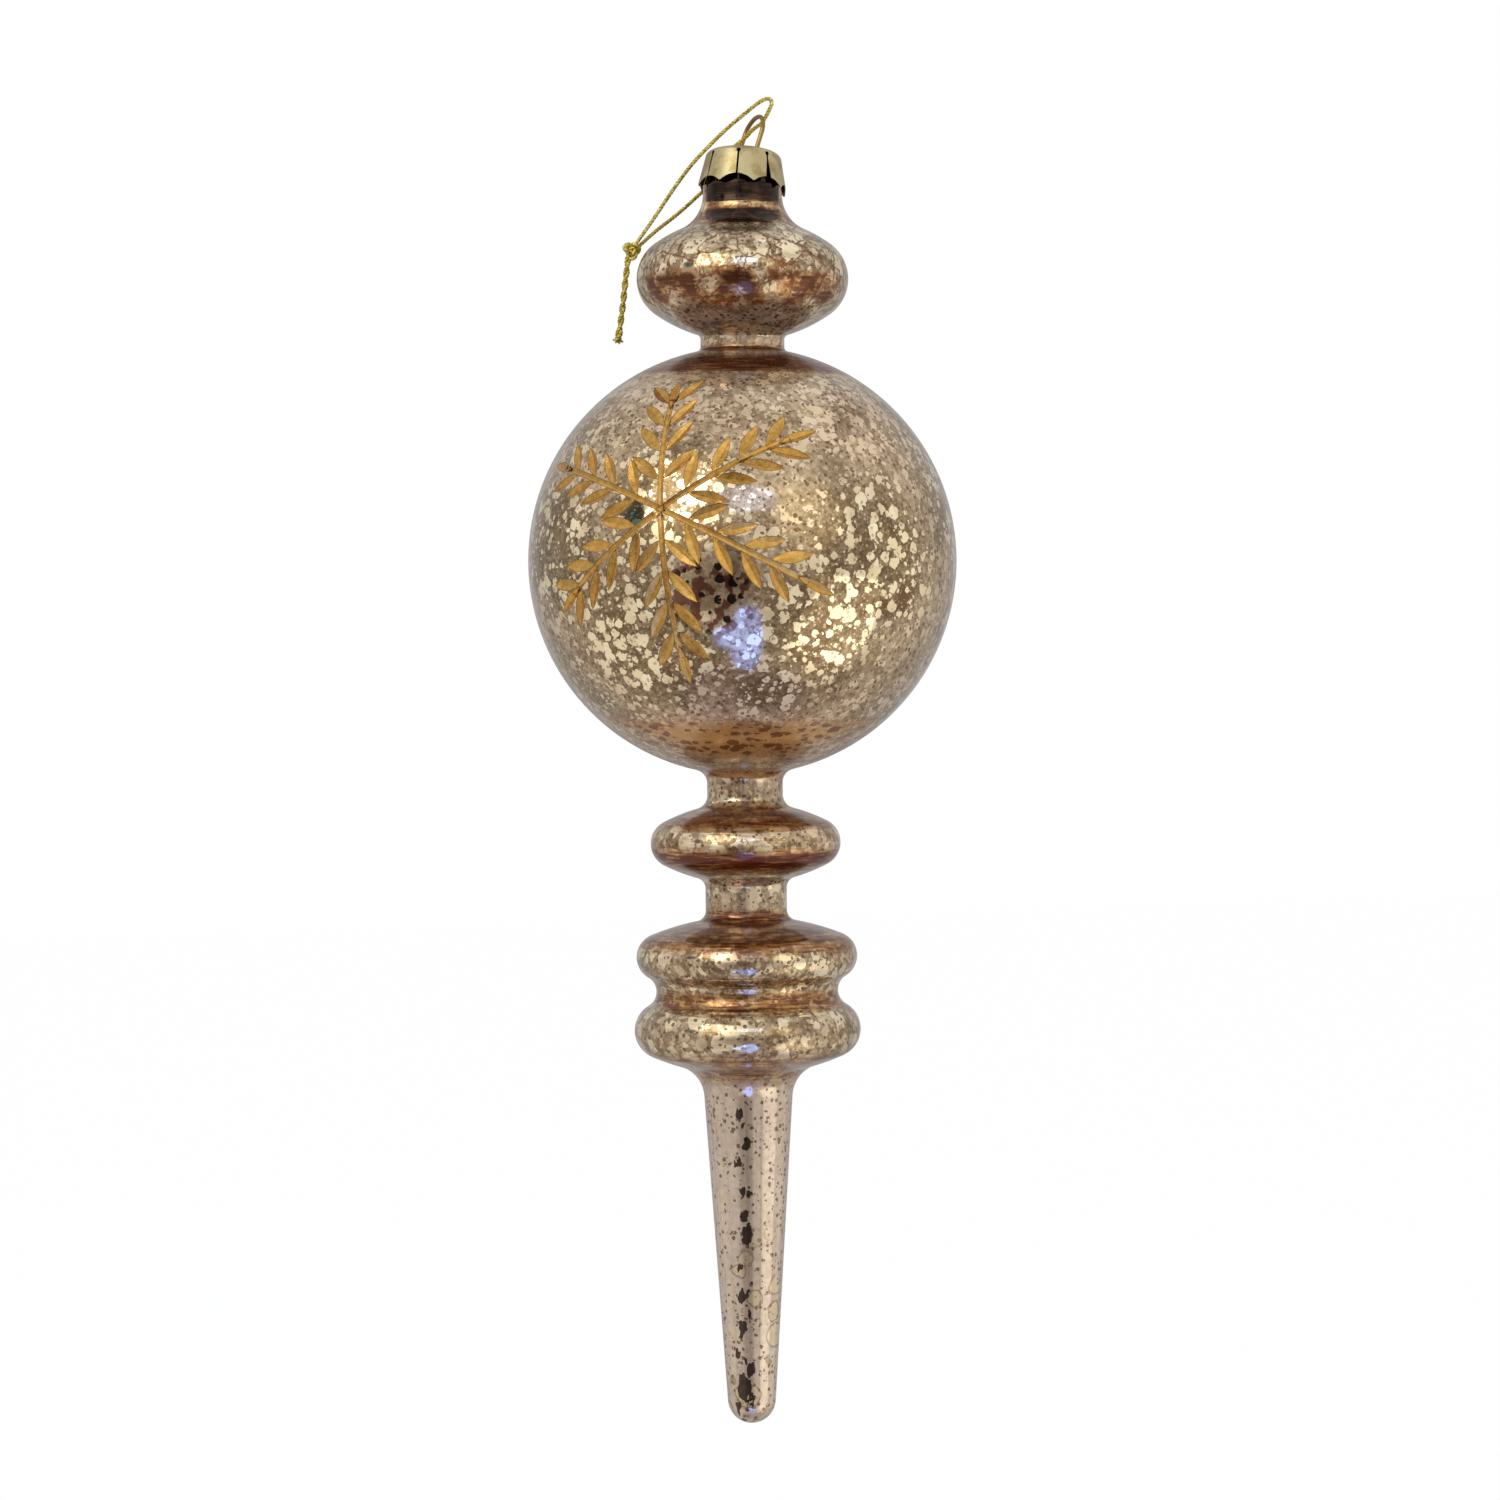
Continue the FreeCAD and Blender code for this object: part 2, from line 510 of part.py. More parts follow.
# Pressed cap: one turned sheet section, then eight keyhole slits that end in a scalloped edge.
cap = new_body("PressedCap", "cap")
crown, rounding, sheet_metal = size("crown_radius"), size("crown_rounding"), size("cap_sheet")
skirt = Vector(size("skirt_radius"), -size("skirt_height"), 0)
shoulder = Vector(crown - rounding, -rounding, 0)
flank_way = skirt - shoulder
flare_turn = math.atan2(flank_way.y, flank_way.x) + math.acos(rounding / flank_way.Length)
flank_out = Vector(math.cos(flare_turn), math.sin(flare_turn), 0)

cap_sketch = new_sketch(cap, "CapSection", "XZ_Plane")
section = Outline(cap_sketch)
flank_head = shoulder + flank_out * rounding
under = flank_out * (rounding - sheet_metal)
section.line(Vector(), Vector(shoulder.x, 0, 0))
section.arc(shoulder, rounding, Vector(shoulder.x, 0, 0), flank_head)
section.line(flank_head, skirt)
section.line(skirt, skirt - flank_out * sheet_metal)
section.line(skirt - flank_out * sheet_metal, shoulder + under)
section.arc(shoulder, rounding - sheet_metal, shoulder + under, Vector(shoulder.x, -sheet_metal, 0), False)
section.line(Vector(shoulder.x, -sheet_metal, 0), Vector(0, -sheet_metal, 0))
section.line(Vector(0, -sheet_metal, 0), Vector())
section.join(tangent=[0, 1, 4, 5])
cap_sketch.addConstraint(Sketcher.Constraint("Coincident", 0, START, *ORIGIN_POINT))
cap_sketch.addConstraint(Sketcher.Constraint("Horizontal", 0))
cap_sketch.addConstraint(Sketcher.Constraint("Horizontal", 6))
cap_sketch.addConstraint(Sketcher.Constraint("Vertical", 7))
cap_sketch.addConstraint(Sketcher.Constraint("Coincident", 1, CENTRE, 5, CENTRE))
cap_sketch.addConstraint(Sketcher.Constraint("Perpendicular", 2, 3))
cap_sketch.addConstraint(Sketcher.Constraint("Parallel", 2, 4))
section.bind("Sizes.crown_rounding", "Radius", 1)
section.bind("Sizes.crown_rounding - Sizes.cap_sheet", "Radius", 5)
section.bind("Sizes.crown_radius - Sizes.crown_rounding", "DistanceX", *ORIGIN_POINT, 1, CENTRE)
section.bind("Sizes.skirt_radius", "DistanceX", *ORIGIN_POINT, 2, END)
section.bind("-Sizes.skirt_height", "DistanceY", *ORIGIN_POINT, 2, END)
turn(cap, cap_sketch, "CapTurn")


def pocket(body, sketch, name, length, reverse=False):
    feature = body.newObject("PartDesign::Pocket", name)
    feature.Profile = sketch
    feature.Type = 0
    feature.Length = length
    feature.Reversed = reverse
    doc.recompute()
    return feature


EDGE_MARGIN = 0.5
ACROSS_CAP = 12.0
slit_place = Placement(Vector(), Rotation(Vector(0, 1, 0), size("slit_turn")))
slit_sketch = new_sketch(cap, "SlitOutline", "XZ_Plane", slit_place)
slit = Outline(slit_sketch)
half_slit, eye_radius, arch = size("slit_width") / 2, size("slit_eye"), size("scallop_radius")
eye = Vector(0, -size("slit_top"), 0)
eye_low = eye.y - math.sqrt(eye_radius**2 - half_slit**2)
arch_at = Vector(0, skirt.y + size("scallop_height") - arch, 0)
arch_high = arch_at.y + math.sqrt(arch**2 - half_slit**2)
low = skirt.y - EDGE_MARGIN
half_arch = math.sqrt(arch**2 - (low - arch_at.y) ** 2)
slit.arc(eye, eye_radius, Vector(half_slit, eye_low, 0), Vector(-half_slit, eye_low, 0), False)
slit.line(Vector(-half_slit, eye_low, 0), Vector(-half_slit, arch_high, 0))
slit.arc(arch_at, arch, Vector(-half_slit, arch_high, 0), Vector(-half_arch, low, 0), False)
slit.line(Vector(-half_arch, low, 0), Vector(half_arch, low, 0))
slit.arc(arch_at, arch, Vector(half_arch, low, 0), Vector(half_slit, arch_high, 0), False)
slit.line(Vector(half_slit, arch_high, 0), Vector(half_slit, eye_low, 0))
slit.join(tangent=[])
upright(slit_sketch, 1, 5)
slit_sketch.addConstraint(Sketcher.Constraint("Horizontal", 3))
slit.on_axis(2)
slit_sketch.addConstraint(Sketcher.Constraint("Coincident", 2, CENTRE, 4, CENTRE))
slit_sketch.addConstraint(Sketcher.Constraint("Equal", 2, 4))
slit_sketch.addConstraint(Sketcher.Constraint("Symmetric", 1, START, 5, END, AXIS_LINE))
slit.bind("Sizes.slit_eye", "Radius", 0)
slit.bind("Sizes.scallop_radius", "Radius", 2)
slit.bind("Sizes.slit_width / 2", "DistanceX", *ORIGIN_POINT, 5, END)
slit.bind("-Sizes.slit_top", "DistanceY", *ORIGIN_POINT, 0, CENTRE)
slit.bind("Sizes.scallop_height - Sizes.skirt_height - Sizes.scallop_radius", "DistanceY",
          *ORIGIN_POINT, 2, CENTRE)
slit.bind(f"-Sizes.skirt_height - {EDGE_MARGIN}", "DistanceY", *ORIGIN_POINT, 3, START)
slit_pocket = pocket(cap, slit_sketch, "Slit", ACROSS_CAP)
slits = cap.newObject("PartDesign::PolarPattern", "Slits")
slits.Originals = [slit_pocket]
slits.Axis = (origin_part(cap, "Z_Axis"), [""])
slits.Angle = 360
slits.Occurrences = int(size("slit_count"))
cap.Tip = slits
doc.recompute()

# one slit has sprung open into a narrow V
sprung_sketch = new_sketch(cap, "SprungSlitOutline", "XZ_Plane", slit_place)
sprung = Outline(sprung_sketch)
half_sprung = size("sprung_slit_width") / 2
sprung.line(eye, Vector(half_sprung, low, 0))
sprung.line(Vector(half_sprung, low, 0), Vector(-half_sprung, low, 0))
sprung.line(Vector(-half_sprung, low, 0), eye)
sprung.join(tangent=[])
sprung_sketch.addConstraint(Sketcher.Constraint("Symmetric", 1, START, 1, END, AXIS_LINE))
sprung.on_axis(0, START)
sprung.bind("-Sizes.slit_top", "DistanceY", *ORIGIN_POINT, 0, START)
sprung.bind("Sizes.sprung_slit_width / 2", "DistanceX", *ORIGIN_POINT, 1, START)
sprung.bind(f"-Sizes.skirt_height - {EDGE_MARGIN}", "DistanceY", *ORIGIN_POINT, 1, START)
pocket(cap, sprung_sketch, "SprungSlit", ACROSS_CAP, reverse=True)

# the cap's place on the neck, and the spring wire's line through it, which says where it is pierced
askew = math.radians(size("cap_lean_towards"))
cap_place = Vector(size("axis_x") + size("cap_shift") * math.cos(askew), size("cap_shift") * math.sin(askew),
                   -size("cap_drop"))
cap_turn = Rotation(Vector(-math.sin(askew), math.cos(askew), 0), size("cap_lean"))
cap.Placement = Placement(cap_place, cap_turn)
wire, loop = size("wire_radius"), size("loop_radius")
foot = Vector(size("foot_x"), 0, -size("foot_drop"))
wire_up = (Vector() - foot).normalize()
loop_at = wire_up * (wire - loop)
near = Vector(0, -loop, 0)
crown_up = cap_turn.multVec(Vector(0, 0, 1))
for number, (hand, side) in enumerate((("near", near), ("far", -near))):
    leg = loop_at + side
    down = (cap_place - leg).dot(crown_up) / wire_up.dot(crown_up)
    pierced = cap.Placement.inverse().multVec(leg + wire_up * down)
    put_size(len(SIZES) + 2 * number + 1, f"{hand}_hole_x", pierced.x)
    put_size(len(SIZES) + 2 * number + 2, f"{hand}_hole_y", pierced.y)
    print(hand, "hole, mm:", round(pierced.x, 2), round(pierced.y, 2))
doc.recompute()

hole_sketch = new_sketch(cap, "WireHoles", "XY_Plane")
hole_radius = size("wire_radius") + size("wire_hole_clearance")
for number, hand in enumerate(("near", "far")):
    middle = Vector(size(f"{hand}_hole_x"), size(f"{hand}_hole_y"), 0)
    hole_sketch.addGeometry(Part.Circle(middle, Vector(0, 0, 1), hole_radius), False)
    for kind, formula, places, value in (
            ("Radius", "Sizes.wire_radius + Sizes.wire_hole_clearance", (number,), hole_radius),
            ("DistanceX", f"Sizes.{hand}_hole_x", (*ORIGIN_POINT, number, CENTRE), middle.x),
            ("DistanceY", f"Sizes.{hand}_hole_y", (*ORIGIN_POINT, number, CENTRE), middle.y)):
        index = hole_sketch.addConstraint(Sketcher.Constraint(kind, *places, value))
        hole_sketch.setExpression(f"Constraints[{index}]", formula)
pocket(cap, hole_sketch, "WireHolePair", sheet_metal + EDGE_MARGIN)


# Round wire and thread are swept along a route of straight runs and tangent arcs.
def tube(name, edges, radius):
    """A round tube along a chain of edges, as a sweep of a circle along a route."""
    route = doc.addObject("Part::Feature", f"{name}Route")
    route.Shape = Part.Wire(edges)
    start = edges[0].firstVertex().Point
    way = edges[0].tangentAt(edges[0].FirstParameter)
    circle = doc.addObject("Part::Circle", f"{name}Section")
    circle.setExpression("Radius", f"Sizes.{radius}")
    circle.Placement = Placement(start, Rotation(Vector(0, 0, 1), way))
    sweep = doc.addObject("Part::Sweep", f"{name}Sweep")
    sweep.Sections = [circle]
    sweep.Spine = (route, [f"Edge{number}" for number in range(1, len(edges) + 1)])
    sweep.Solid = True
    sweep.Frenet = False
    doc.recompute()
    return sweep


def arc_through(first, middle, last):
    return Part.Arc(first, middle, last).toShape()


SHARE_OF_RUN = 0.45


def bent_route(points, radii=None):
    """Straight runs joined by tangent arcs; without radii each arc uses a share of its shorter run."""
    edges, begin, used = [], points[0], []
    for number in range(1, len(points) - 1):
        corner = points[number]
        back, ahead = points[number - 1] - corner, points[number + 1] - corner
        half_turn = (math.pi - back.getAngle(ahead)) / 2
        if radii is None:
            trim = SHARE_OF_RUN * min(back.Length, ahead.Length)
            radius = trim / math.tan(half_turn)
        else:
            radius = radii[number - 1]
            trim = radius * math.tan(half_turn)
        used.append(round(radius, 2))
        back.normalize()
        ahead.normalize()
        inward = (back + ahead).normalize()
        first, last = corner + back * trim, corner + ahead * trim
        middle = corner + inward * (radius / math.cos(half_turn) - radius)
        edges.append(Part.LineSegment(begin, first).toShape())
        edges.append(arc_through(first, middle, last))
        begin = last
    edges.append(Part.LineSegment(begin, points[-1]).toShape())
    return edges, used


# Spring wire: a round loop over two straight legs that pass the crown and splay inside the neck.
loop_top = wire_up * wire
knee = foot - wire_up * size("knee_drop")
inner_neck = size("throat_radius") - WALL
leg_end = Vector(size("axis_x"), inner_neck - wire - size("leg_clearance"), foot.z - size("leg_reach"))
near_leg, _ = bent_route([Vector(leg_end.x, -leg_end.y, leg_end.z), knee + near, loop_at + near],
                         [size("knee_bend")])
far_leg, _ = bent_route([loop_at - near, knee - near, leg_end], [size("knee_bend")])
wire_route = near_leg + [arc_through(loop_at + near, loop_top, loop_at - near)] + far_leg
hanger = tube("Hanger", wire_route, "wire_radius")
hanger.Label = "hanger_wire"

# Thread: from the knot up, over the wire loop's top in a tight fold, back through the loop, round
# the far side of the crown and down to the knot again. Route points are millimetres in the frame.
THREAD_ROUTE = [
    (-24.90, 17.00, -30.60), (-20.84, 14.62, -24.20), (-16.78, 12.02, -16.90), (-12.94, 9.64, -10.70),
    (-9.37, 7.17, -6.20), (-5.80, 4.48, -2.00), (-2.54, 2.06, 1.20), (0.45, 0.00, 4.10),
    (2.32, -1.17, 5.00), (3.13, -1.57, 3.90), (2.34, -1.18, 1.90), (0.96, -0.46, -1.05),
    (-0.76, 0.72, -2.20), (-2.23, 1.79, -4.30), (-3.57, 3.14, -5.50), (-3.92, 7.20, -7.10),
    (-2.79, 10.10, -9.20), (-4.53, 13.02, -13.00), (-8.55, 13.92, -16.90), (-14.00, 14.87, -21.90),
    (-19.27, 15.96, -25.90), (-23.56, 16.77, -30.00),
]
TAIL_ROUTE = [
    (-25.35, 17.22, -31.60), (-26.02, 17.67, -38.40), (-26.56, 18.16, -45.40), (-27.49, 18.52, -51.90),
]
KNOT_AT = Vector(-24.64, 16.86, -30.40)

thread_edges, thread_bends = bent_route([Vector(*point) for point in THREAD_ROUTE])
tail_edges, tail_bends = bent_route([Vector(*point) for point in TAIL_ROUTE])
print("thread arc radii, mm:", thread_bends)
print("tail arc radii, mm:", tail_bends)
print("thread length, mm:", round(sum(edge.Length for edge in thread_edges), 1))
thread = tube("Thread", thread_edges, "thread_radius")
tail = tube("Tail", tail_edges, "tail_radius")

knot = doc.addObject("Part::Ellipsoid", "Knot")
knot.setExpression("Radius1", "Sizes.knot_half_height")
knot.setExpression("Radius2", "Sizes.knot_half_width")
knot.setExpression("Radius3", "Sizes.knot_half_width")
knot.Placement = Placement(KNOT_AT, Rotation())
knot.Label = "thread_knot"
doc.recompute()


def outside_knot(name, label, strand):
    feature = doc.addObject("Part::Cut", name)
    feature.Base = strand
    feature.Tool = knot
    feature.Label = label
    doc.recompute()
    return feature


thread_loop = outside_knot("ThreadOutsideKnot", "thread_loop", thread)
thread_tails = outside_knot("TailsOutsideKnot", "thread_tails", tail)


# Every object must be sound before anything is written.
pieces = [cut_glass, cap, hanger, thread_loop, knot, thread_tails]
for item in doc.Objects:
    if "Invalid" in item.State or "Error" in item.State:
        raise RuntimeError(f"{item.Name} is not sound: {item.State}")
for piece in pieces:
    if piece.Shape.isNull() or not piece.Shape.isValid():
        raise RuntimeError(f"{piece.Label} has no valid shape")

os.makedirs("parts", exist_ok=True)
for piece in pieces:
    piece.Shape.exportStep(f"parts/{piece.Label}.step")
    box = piece.Shape.BoundBox
    print(piece.Label, "volume", round(piece.Shape.Volume, 1), "z", round(box.ZMin, 2), round(box.ZMax, 2))
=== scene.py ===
# %% [markdown]
# A blown glass finial ornament. One hollow piece of glass is silvered on the inside, crackled and
# tinted rose champagne, and a snowflake is cut into its ball and gilded. A pressed cap closes its
# neck, a spring wire holds the cap, and a gold thread is looped over the wire.
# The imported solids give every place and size, in metres, and this lesson dresses them.

import math

import bmesh
import bpy
from mathutils import Matrix, Quaternion, Vector


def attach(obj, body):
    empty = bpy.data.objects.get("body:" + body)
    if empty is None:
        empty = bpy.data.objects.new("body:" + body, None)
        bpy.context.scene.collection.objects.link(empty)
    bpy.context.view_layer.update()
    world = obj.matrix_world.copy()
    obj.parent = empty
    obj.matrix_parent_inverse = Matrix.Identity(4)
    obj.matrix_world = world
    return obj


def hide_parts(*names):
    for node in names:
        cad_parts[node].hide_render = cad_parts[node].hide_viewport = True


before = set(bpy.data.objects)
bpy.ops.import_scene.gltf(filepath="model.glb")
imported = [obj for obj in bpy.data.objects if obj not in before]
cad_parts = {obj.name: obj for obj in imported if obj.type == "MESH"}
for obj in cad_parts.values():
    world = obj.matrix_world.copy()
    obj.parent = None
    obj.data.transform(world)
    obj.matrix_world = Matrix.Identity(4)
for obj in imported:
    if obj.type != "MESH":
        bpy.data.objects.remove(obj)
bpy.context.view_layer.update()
MM = 0.001

# %% [markdown]
# The photograph looks at the ornament level with the lower half of its ball, from a metre away and
# from its front left, so that the snowflake faces the camera's left. A long lens keeps the necks
# nearly flat. The ball's middle is also the place from which the other sizes are measured.

# %% Set the camera
FRONT_TURN = math.radians(-26.7)
RIGHT = Vector((math.cos(FRONT_TURN), math.sin(FRONT_TURN), 0))
TOWARD = Vector((math.sin(FRONT_TURN), -math.cos(FRONT_TURN), 0))
UP = Vector((0, 0, 1))
BALL_AT = Vector((-4.0, 0, -103.5)) * MM
BALL_RADIUS = 50.0
CAMERA_DISTANCE = 1.0
CAMERA_LEVEL = -0.1243
FRAME_WIDTH = 0.3505
LEVEL_ABOVE_MIDDLE = 100 / 1500

camera_data = bpy.data.cameras.new("camera")
camera_data.sensor_width = 36
camera_data.lens = 36 * CAMERA_DISTANCE / FRAME_WIDTH
camera_data.shift_y = -LEVEL_ABOVE_MIDDLE
camera = bpy.data.objects.new("camera", camera_data)
camera.location = RIGHT * -0.0018 + TOWARD * (CAMERA_DISTANCE + 0.0018) + UP * CAMERA_LEVEL
camera.rotation_euler = (math.radians(90), 0, FRONT_TURN)
bpy.context.scene.collection.objects.link(camera)
bpy.context.scene.camera = camera
bpy.context.scene.view_settings.view_transform = "Standard"
print("lens, mm:", round(camera_data.lens, 1))

# %% [markdown]
# Materials are node trees, so three small helpers save a lot of typing: one adds a node and fills
# its sockets, one makes an empty material with its output, and one opens a new shader group.

# %% Helpers for node trees
def add(tree, kind, settings=None, **sockets):
    """Adds a node; settings are its options, and sockets are values or links by socket name."""
    made = tree.nodes.new(kind)
    for name, value in (settings or {}).items():
        setattr(made, name, value)
    for name, value in sockets.items():
        fill(tree, made, name.replace("_", " "), value)
    return made


def fill(tree, made, name, value):
    """Fills one socket, found by its name or its number, with a value or a link."""
    key = int(name) if name.isdigit() else name
    socket = made.inputs[key]
    if isinstance(value, bpy.types.NodeSocket):
        tree.links.new(value, socket)
    else:
        socket.default_value = value


def calc(tree, operation, first, second=0.0, third=0.0, clamp=False):
    """One step of arithmetic on numbers."""
    made = tree.nodes.new("ShaderNodeMath")
    made.operation = operation
    made.use_clamp = clamp
    for number, value in enumerate((first, second, third)):
        fill(tree, made, str(number), value)
    return made.outputs[0]


def blend_colours(tree, amount, first, second, how="MIX"):
    """Mixes two colours by an amount from 0 to 1."""
    made = tree.nodes.new("ShaderNodeMix")
    made.data_type = "RGBA"
    made.blend_type = how
    for number, value in ((0, amount), (6, first), (7, second)):
        fill(tree, made, str(number), value)
    return made.outputs[2]


def smooth_step(tree, value, low, high, start=0.0, end=1.0):
    """A soft ramp between two values."""
    made = add(tree, "ShaderNodeMapRange", {"interpolation_type": "SMOOTHSTEP"})
    for name, number in (("Value", value), ("From Min", low), ("From Max", high),
                         ("To Min", start), ("To Max", end)):
        fill(tree, made, name, number)
    return made.outputs["Result"]


def srgb(red, green, blue):
    """A colour as a picture editor gives it, from 0 to 255, turned into Blender's linear numbers."""
    channels = [channel / 255 for channel in (red, green, blue)]
    linear = [c / 12.92 if c <= 0.04045 else ((c + 0.055) / 1.055) ** 2.4 for c in channels]
    return (*linear, 1.0)


def new_material(name):
    """An empty material: its tree, its Principled shader and nothing else."""
    material = bpy.data.materials.new(name)
    material.use_nodes = True
    tree = material.node_tree
    tree.nodes.clear()
    output = tree.nodes.new("ShaderNodeOutputMaterial")
    shader = tree.nodes.new("ShaderNodeBsdfPrincipled")
    tree.links.new(shader.outputs[0], output.inputs[0])
    return material, tree, shader


def new_group(name, inputs, outputs):
    """A shader group with named sockets, and its two inner ends."""
    tree = bpy.data.node_groups.new(name, "ShaderNodeTree")
    for label, kind in inputs:
        tree.interface.new_socket(label, in_out="INPUT", socket_type=kind)
    for label, kind in outputs:
        tree.interface.new_socket(label, in_out="OUTPUT", socket_type=kind)
    inner = tree.nodes.new("NodeGroupInput")
    outer = tree.nodes.new("NodeGroupOutput")
    return tree, inner, outer


def use_group(tree, group, **sockets):
    made = tree.nodes.new("ShaderNodeGroup")
    made.node_tree = group
    for name, value in sockets.items():
        fill(tree, made, name, value)
    return made


# %% [markdown]
# Helpers for meshes come next. Every finished piece sits at the origin, with its place in its mesh,
# so a piece is made straight in the ornament's own coordinates.

# %% Helpers for meshes
def add_piece(name, mesh, material, replaced=()):
    """Puts a mesh into the scene as a piece of the ornament."""
    piece = bpy.data.objects.new(name, mesh)
    bpy.context.scene.collection.objects.link(piece)
    if material is not None:
        mesh.materials.append(material)
    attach(piece, "root")
    if replaced:
        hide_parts(*replaced)
    return piece


def mesh_from(shape, name, sharp_from):
    """Turns a bmesh into a mesh that is smooth except at its sharp edges."""
    mesh = bpy.data.meshes.new(name)
    shape.to_mesh(mesh)
    shape.free()
    mesh.polygons.foreach_set("use_smooth", [True] * len(mesh.polygons))
    mesh.set_sharp_from_angle(angle=math.radians(sharp_from))
    return mesh


def smooth_copy(node, name, sharp_from):
    """A merged copy of a solid's mesh, because the solid's own is loose triangles."""
    shape = bmesh.new()
    shape.from_mesh(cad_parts[node].data)
    bmesh.ops.remove_doubles(shape, verts=shape.verts, dist=1e-6)
    return mesh_from(shape, name, sharp_from)


# %% [markdown]
# A length of gold metallic thread is looped over the wire and knotted below it. Its route is set
# first, as the solids have it: out of the knot, up and over the wire, around it and back to the
# knot. Thread bends smoothly, so the points pull on a spline and don't lie on it. The yarn itself is
# three strands laid together, and each strand winds around the spline's own points.

# %% The thread's route
THREAD_DIAMETER = 0.00086
KNOT_AT = Vector((-0.02464, 0.01686, -0.03040))
THREAD_ROUTE = [
    (-0.02490, 0.01700, -0.03060), (-0.02084, 0.01462, -0.02420), (-0.01678, 0.01202, -0.01690),
    (-0.01294, 0.00964, -0.01070), (-0.00937, 0.00717, -0.00620), (-0.00580, 0.00448, -0.00200),
    (-0.00254, 0.00206, 0.00120), (0.00045, 0.00000, 0.00410), (0.00232, -0.00117, 0.00500),
    (0.00313, -0.00157, 0.00390), (0.00234, -0.00118, 0.00190), (0.00096, -0.00046, -0.00105),
    (-0.00076, 0.00072, -0.00220), (-0.00223, 0.00179, -0.00430), (-0.00357, 0.00314, -0.00550),
    (-0.00392, 0.00720, -0.00710), (-0.00279, 0.01010, -0.00920), (-0.00453, 0.01302, -0.01300),
    (-0.00855, 0.01392, -0.01690), (-0.01400, 0.01487, -0.02190), (-0.01927, 0.01596, -0.02590),
    (-0.02356, 0.01677, -0.03000)]
TAIL_ROUTE = [
    (-0.02535, 0.01722, -0.03160), (-0.02602, 0.01767, -0.03840), (-0.02656, 0.01816, -0.04540),
    (-0.02749, 0.01852, -0.05190)]


def spline_points(name, route, closed=False):
    """The points of a smooth NURBS spline that is pulled along a route."""
    curve = bpy.data.curves.new(name, "CURVE")
    curve.dimensions = "3D"
    spline = curve.splines.new("NURBS")
    spline.points.add(len(route) - 1)
    for point, place in zip(spline.points, route):
        point.co = (*place, 1)
    spline.order_u = 3
    spline.use_endpoint_u = not closed
    spline.use_cyclic_u = closed
    spline.resolution_u = 24
    guide = bpy.data.objects.new(name, curve)
    bpy.context.scene.collection.objects.link(guide)
    bpy.context.view_layer.update()
    line = bpy.data.meshes.new_from_object(guide)
    points = [vert.co.copy() for vert in line.vertices]
    bpy.data.objects.remove(guide)
    bpy.data.meshes.remove(line)
    return points


def run_length(points):
    return sum((after - before).length for before, after in zip(points, points[1:]))


thread_points = spline_points("thread_route", THREAD_ROUTE)
tail_points = spline_points("tail_route", TAIL_ROUTE)
print("thread, mm:", round(run_length(thread_points) / MM, 1), "tails, mm:", round(run_length(tail_points) / MM, 1))


# %% Wind the strands
def wound(points, away, turn_length, start_turn, flare=0.0):
    """Points that wind around a line; flare opens the last part of the winding."""
    way = (points[1] - points[0]).normalized()
    side = way.cross(UP).normalized()
    done, placed = 0.0, []
    whole = run_length(points)
    for number, point in enumerate(points):
        ahead = points[min(number + 1, len(points) - 1)]
        behind = points[max(number - 1, 0)]
        way = (ahead - behind).normalized()
        side = (side - way * side.dot(way)).normalized()
        done += (point - behind).length
        angle = start_turn + math.tau * done / turn_length
        opened = 1 + flare * max(0.0, done / whole - 0.86) / 0.14
        across = side * math.cos(angle) + way.cross(side) * math.sin(angle)
        placed.append(point + across * away * opened)
    return placed


def draw_strand(shape, points, radius, closed=False):
    """Adds one strand to a mesh: a poly line with a round bevel, closed at its ends."""
    curve = bpy.data.curves.new("strand", "CURVE")
    curve.dimensions = "3D"
    spline = curve.splines.new("POLY")
    spline.points.add(len(points) - 1)
    for point, place in zip(spline.points, points):
        point.co = (*place, 1)
    spline.use_cyclic_u = closed
    curve.bevel_depth = radius
    curve.bevel_resolution = 2
    curve.use_fill_caps = not closed
    guide = bpy.data.objects.new("strand", curve)
    bpy.context.scene.collection.objects.link(guide)
    bpy.context.view_layer.update()
    tube = bpy.data.meshes.new_from_object(guide)
    shape.from_mesh(tube)
    bpy.data.objects.remove(guide)
    bpy.data.meshes.remove(tube)


def yarn_mesh(name, runs):
    """A mesh of several strands; each run gives its points, radius and whether it closes."""
    shape = bmesh.new()
    for points, radius, closed in runs:
        draw_strand(shape, points, radius, closed)
    bmesh.ops.remove_doubles(shape, verts=shape.verts, dist=2e-6)
    bmesh.ops.recalc_face_normals(shape, faces=shape.faces)
    return mesh_from(shape, name, 50)


# %% [markdown]
# Metallic yarn is a thin metallised film around a core, so it is a rather smooth metal that
# glitters from turn to turn. A fine noise gives each turn its own brightness.

# %% The thread's finish
def make_thread_gold():
    material, tree, shader = new_material("gold_thread")
    place = add(tree, "ShaderNodeTexCoord")
    glitter = add(tree, "ShaderNodeTexNoise", Vector=place.outputs["Object"], Scale=1900.0, Detail=3.0)
    shade = add(tree, "ShaderNodeTexNoise", Vector=place.outputs["Object"], Scale=420.0, Detail=2.0)
    gold = blend_colours(tree, smooth_step(tree, glitter.outputs[0], 0.38, 0.62),
                         srgb(150, 130, 38), srgb(236, 220, 124))
    gold = blend_colours(tree, smooth_step(tree, shade.outputs[0], 0.40, 0.7), gold, srgb(182, 160, 58))
    fill(tree, shader, "Base Color", gold)
    shader.inputs["Metallic"].default_value = 0.6
    shader.inputs["Roughness"].default_value = 0.42
    bump = add(tree, "ShaderNodeBump", Strength=0.5, Distance=0.00012, Height=glitter.outputs[0])
    tree.links.new(bump.outputs[0], shader.inputs["Normal"])
    return material


gold_thread = make_thread_gold()
print("made", gold_thread.name)

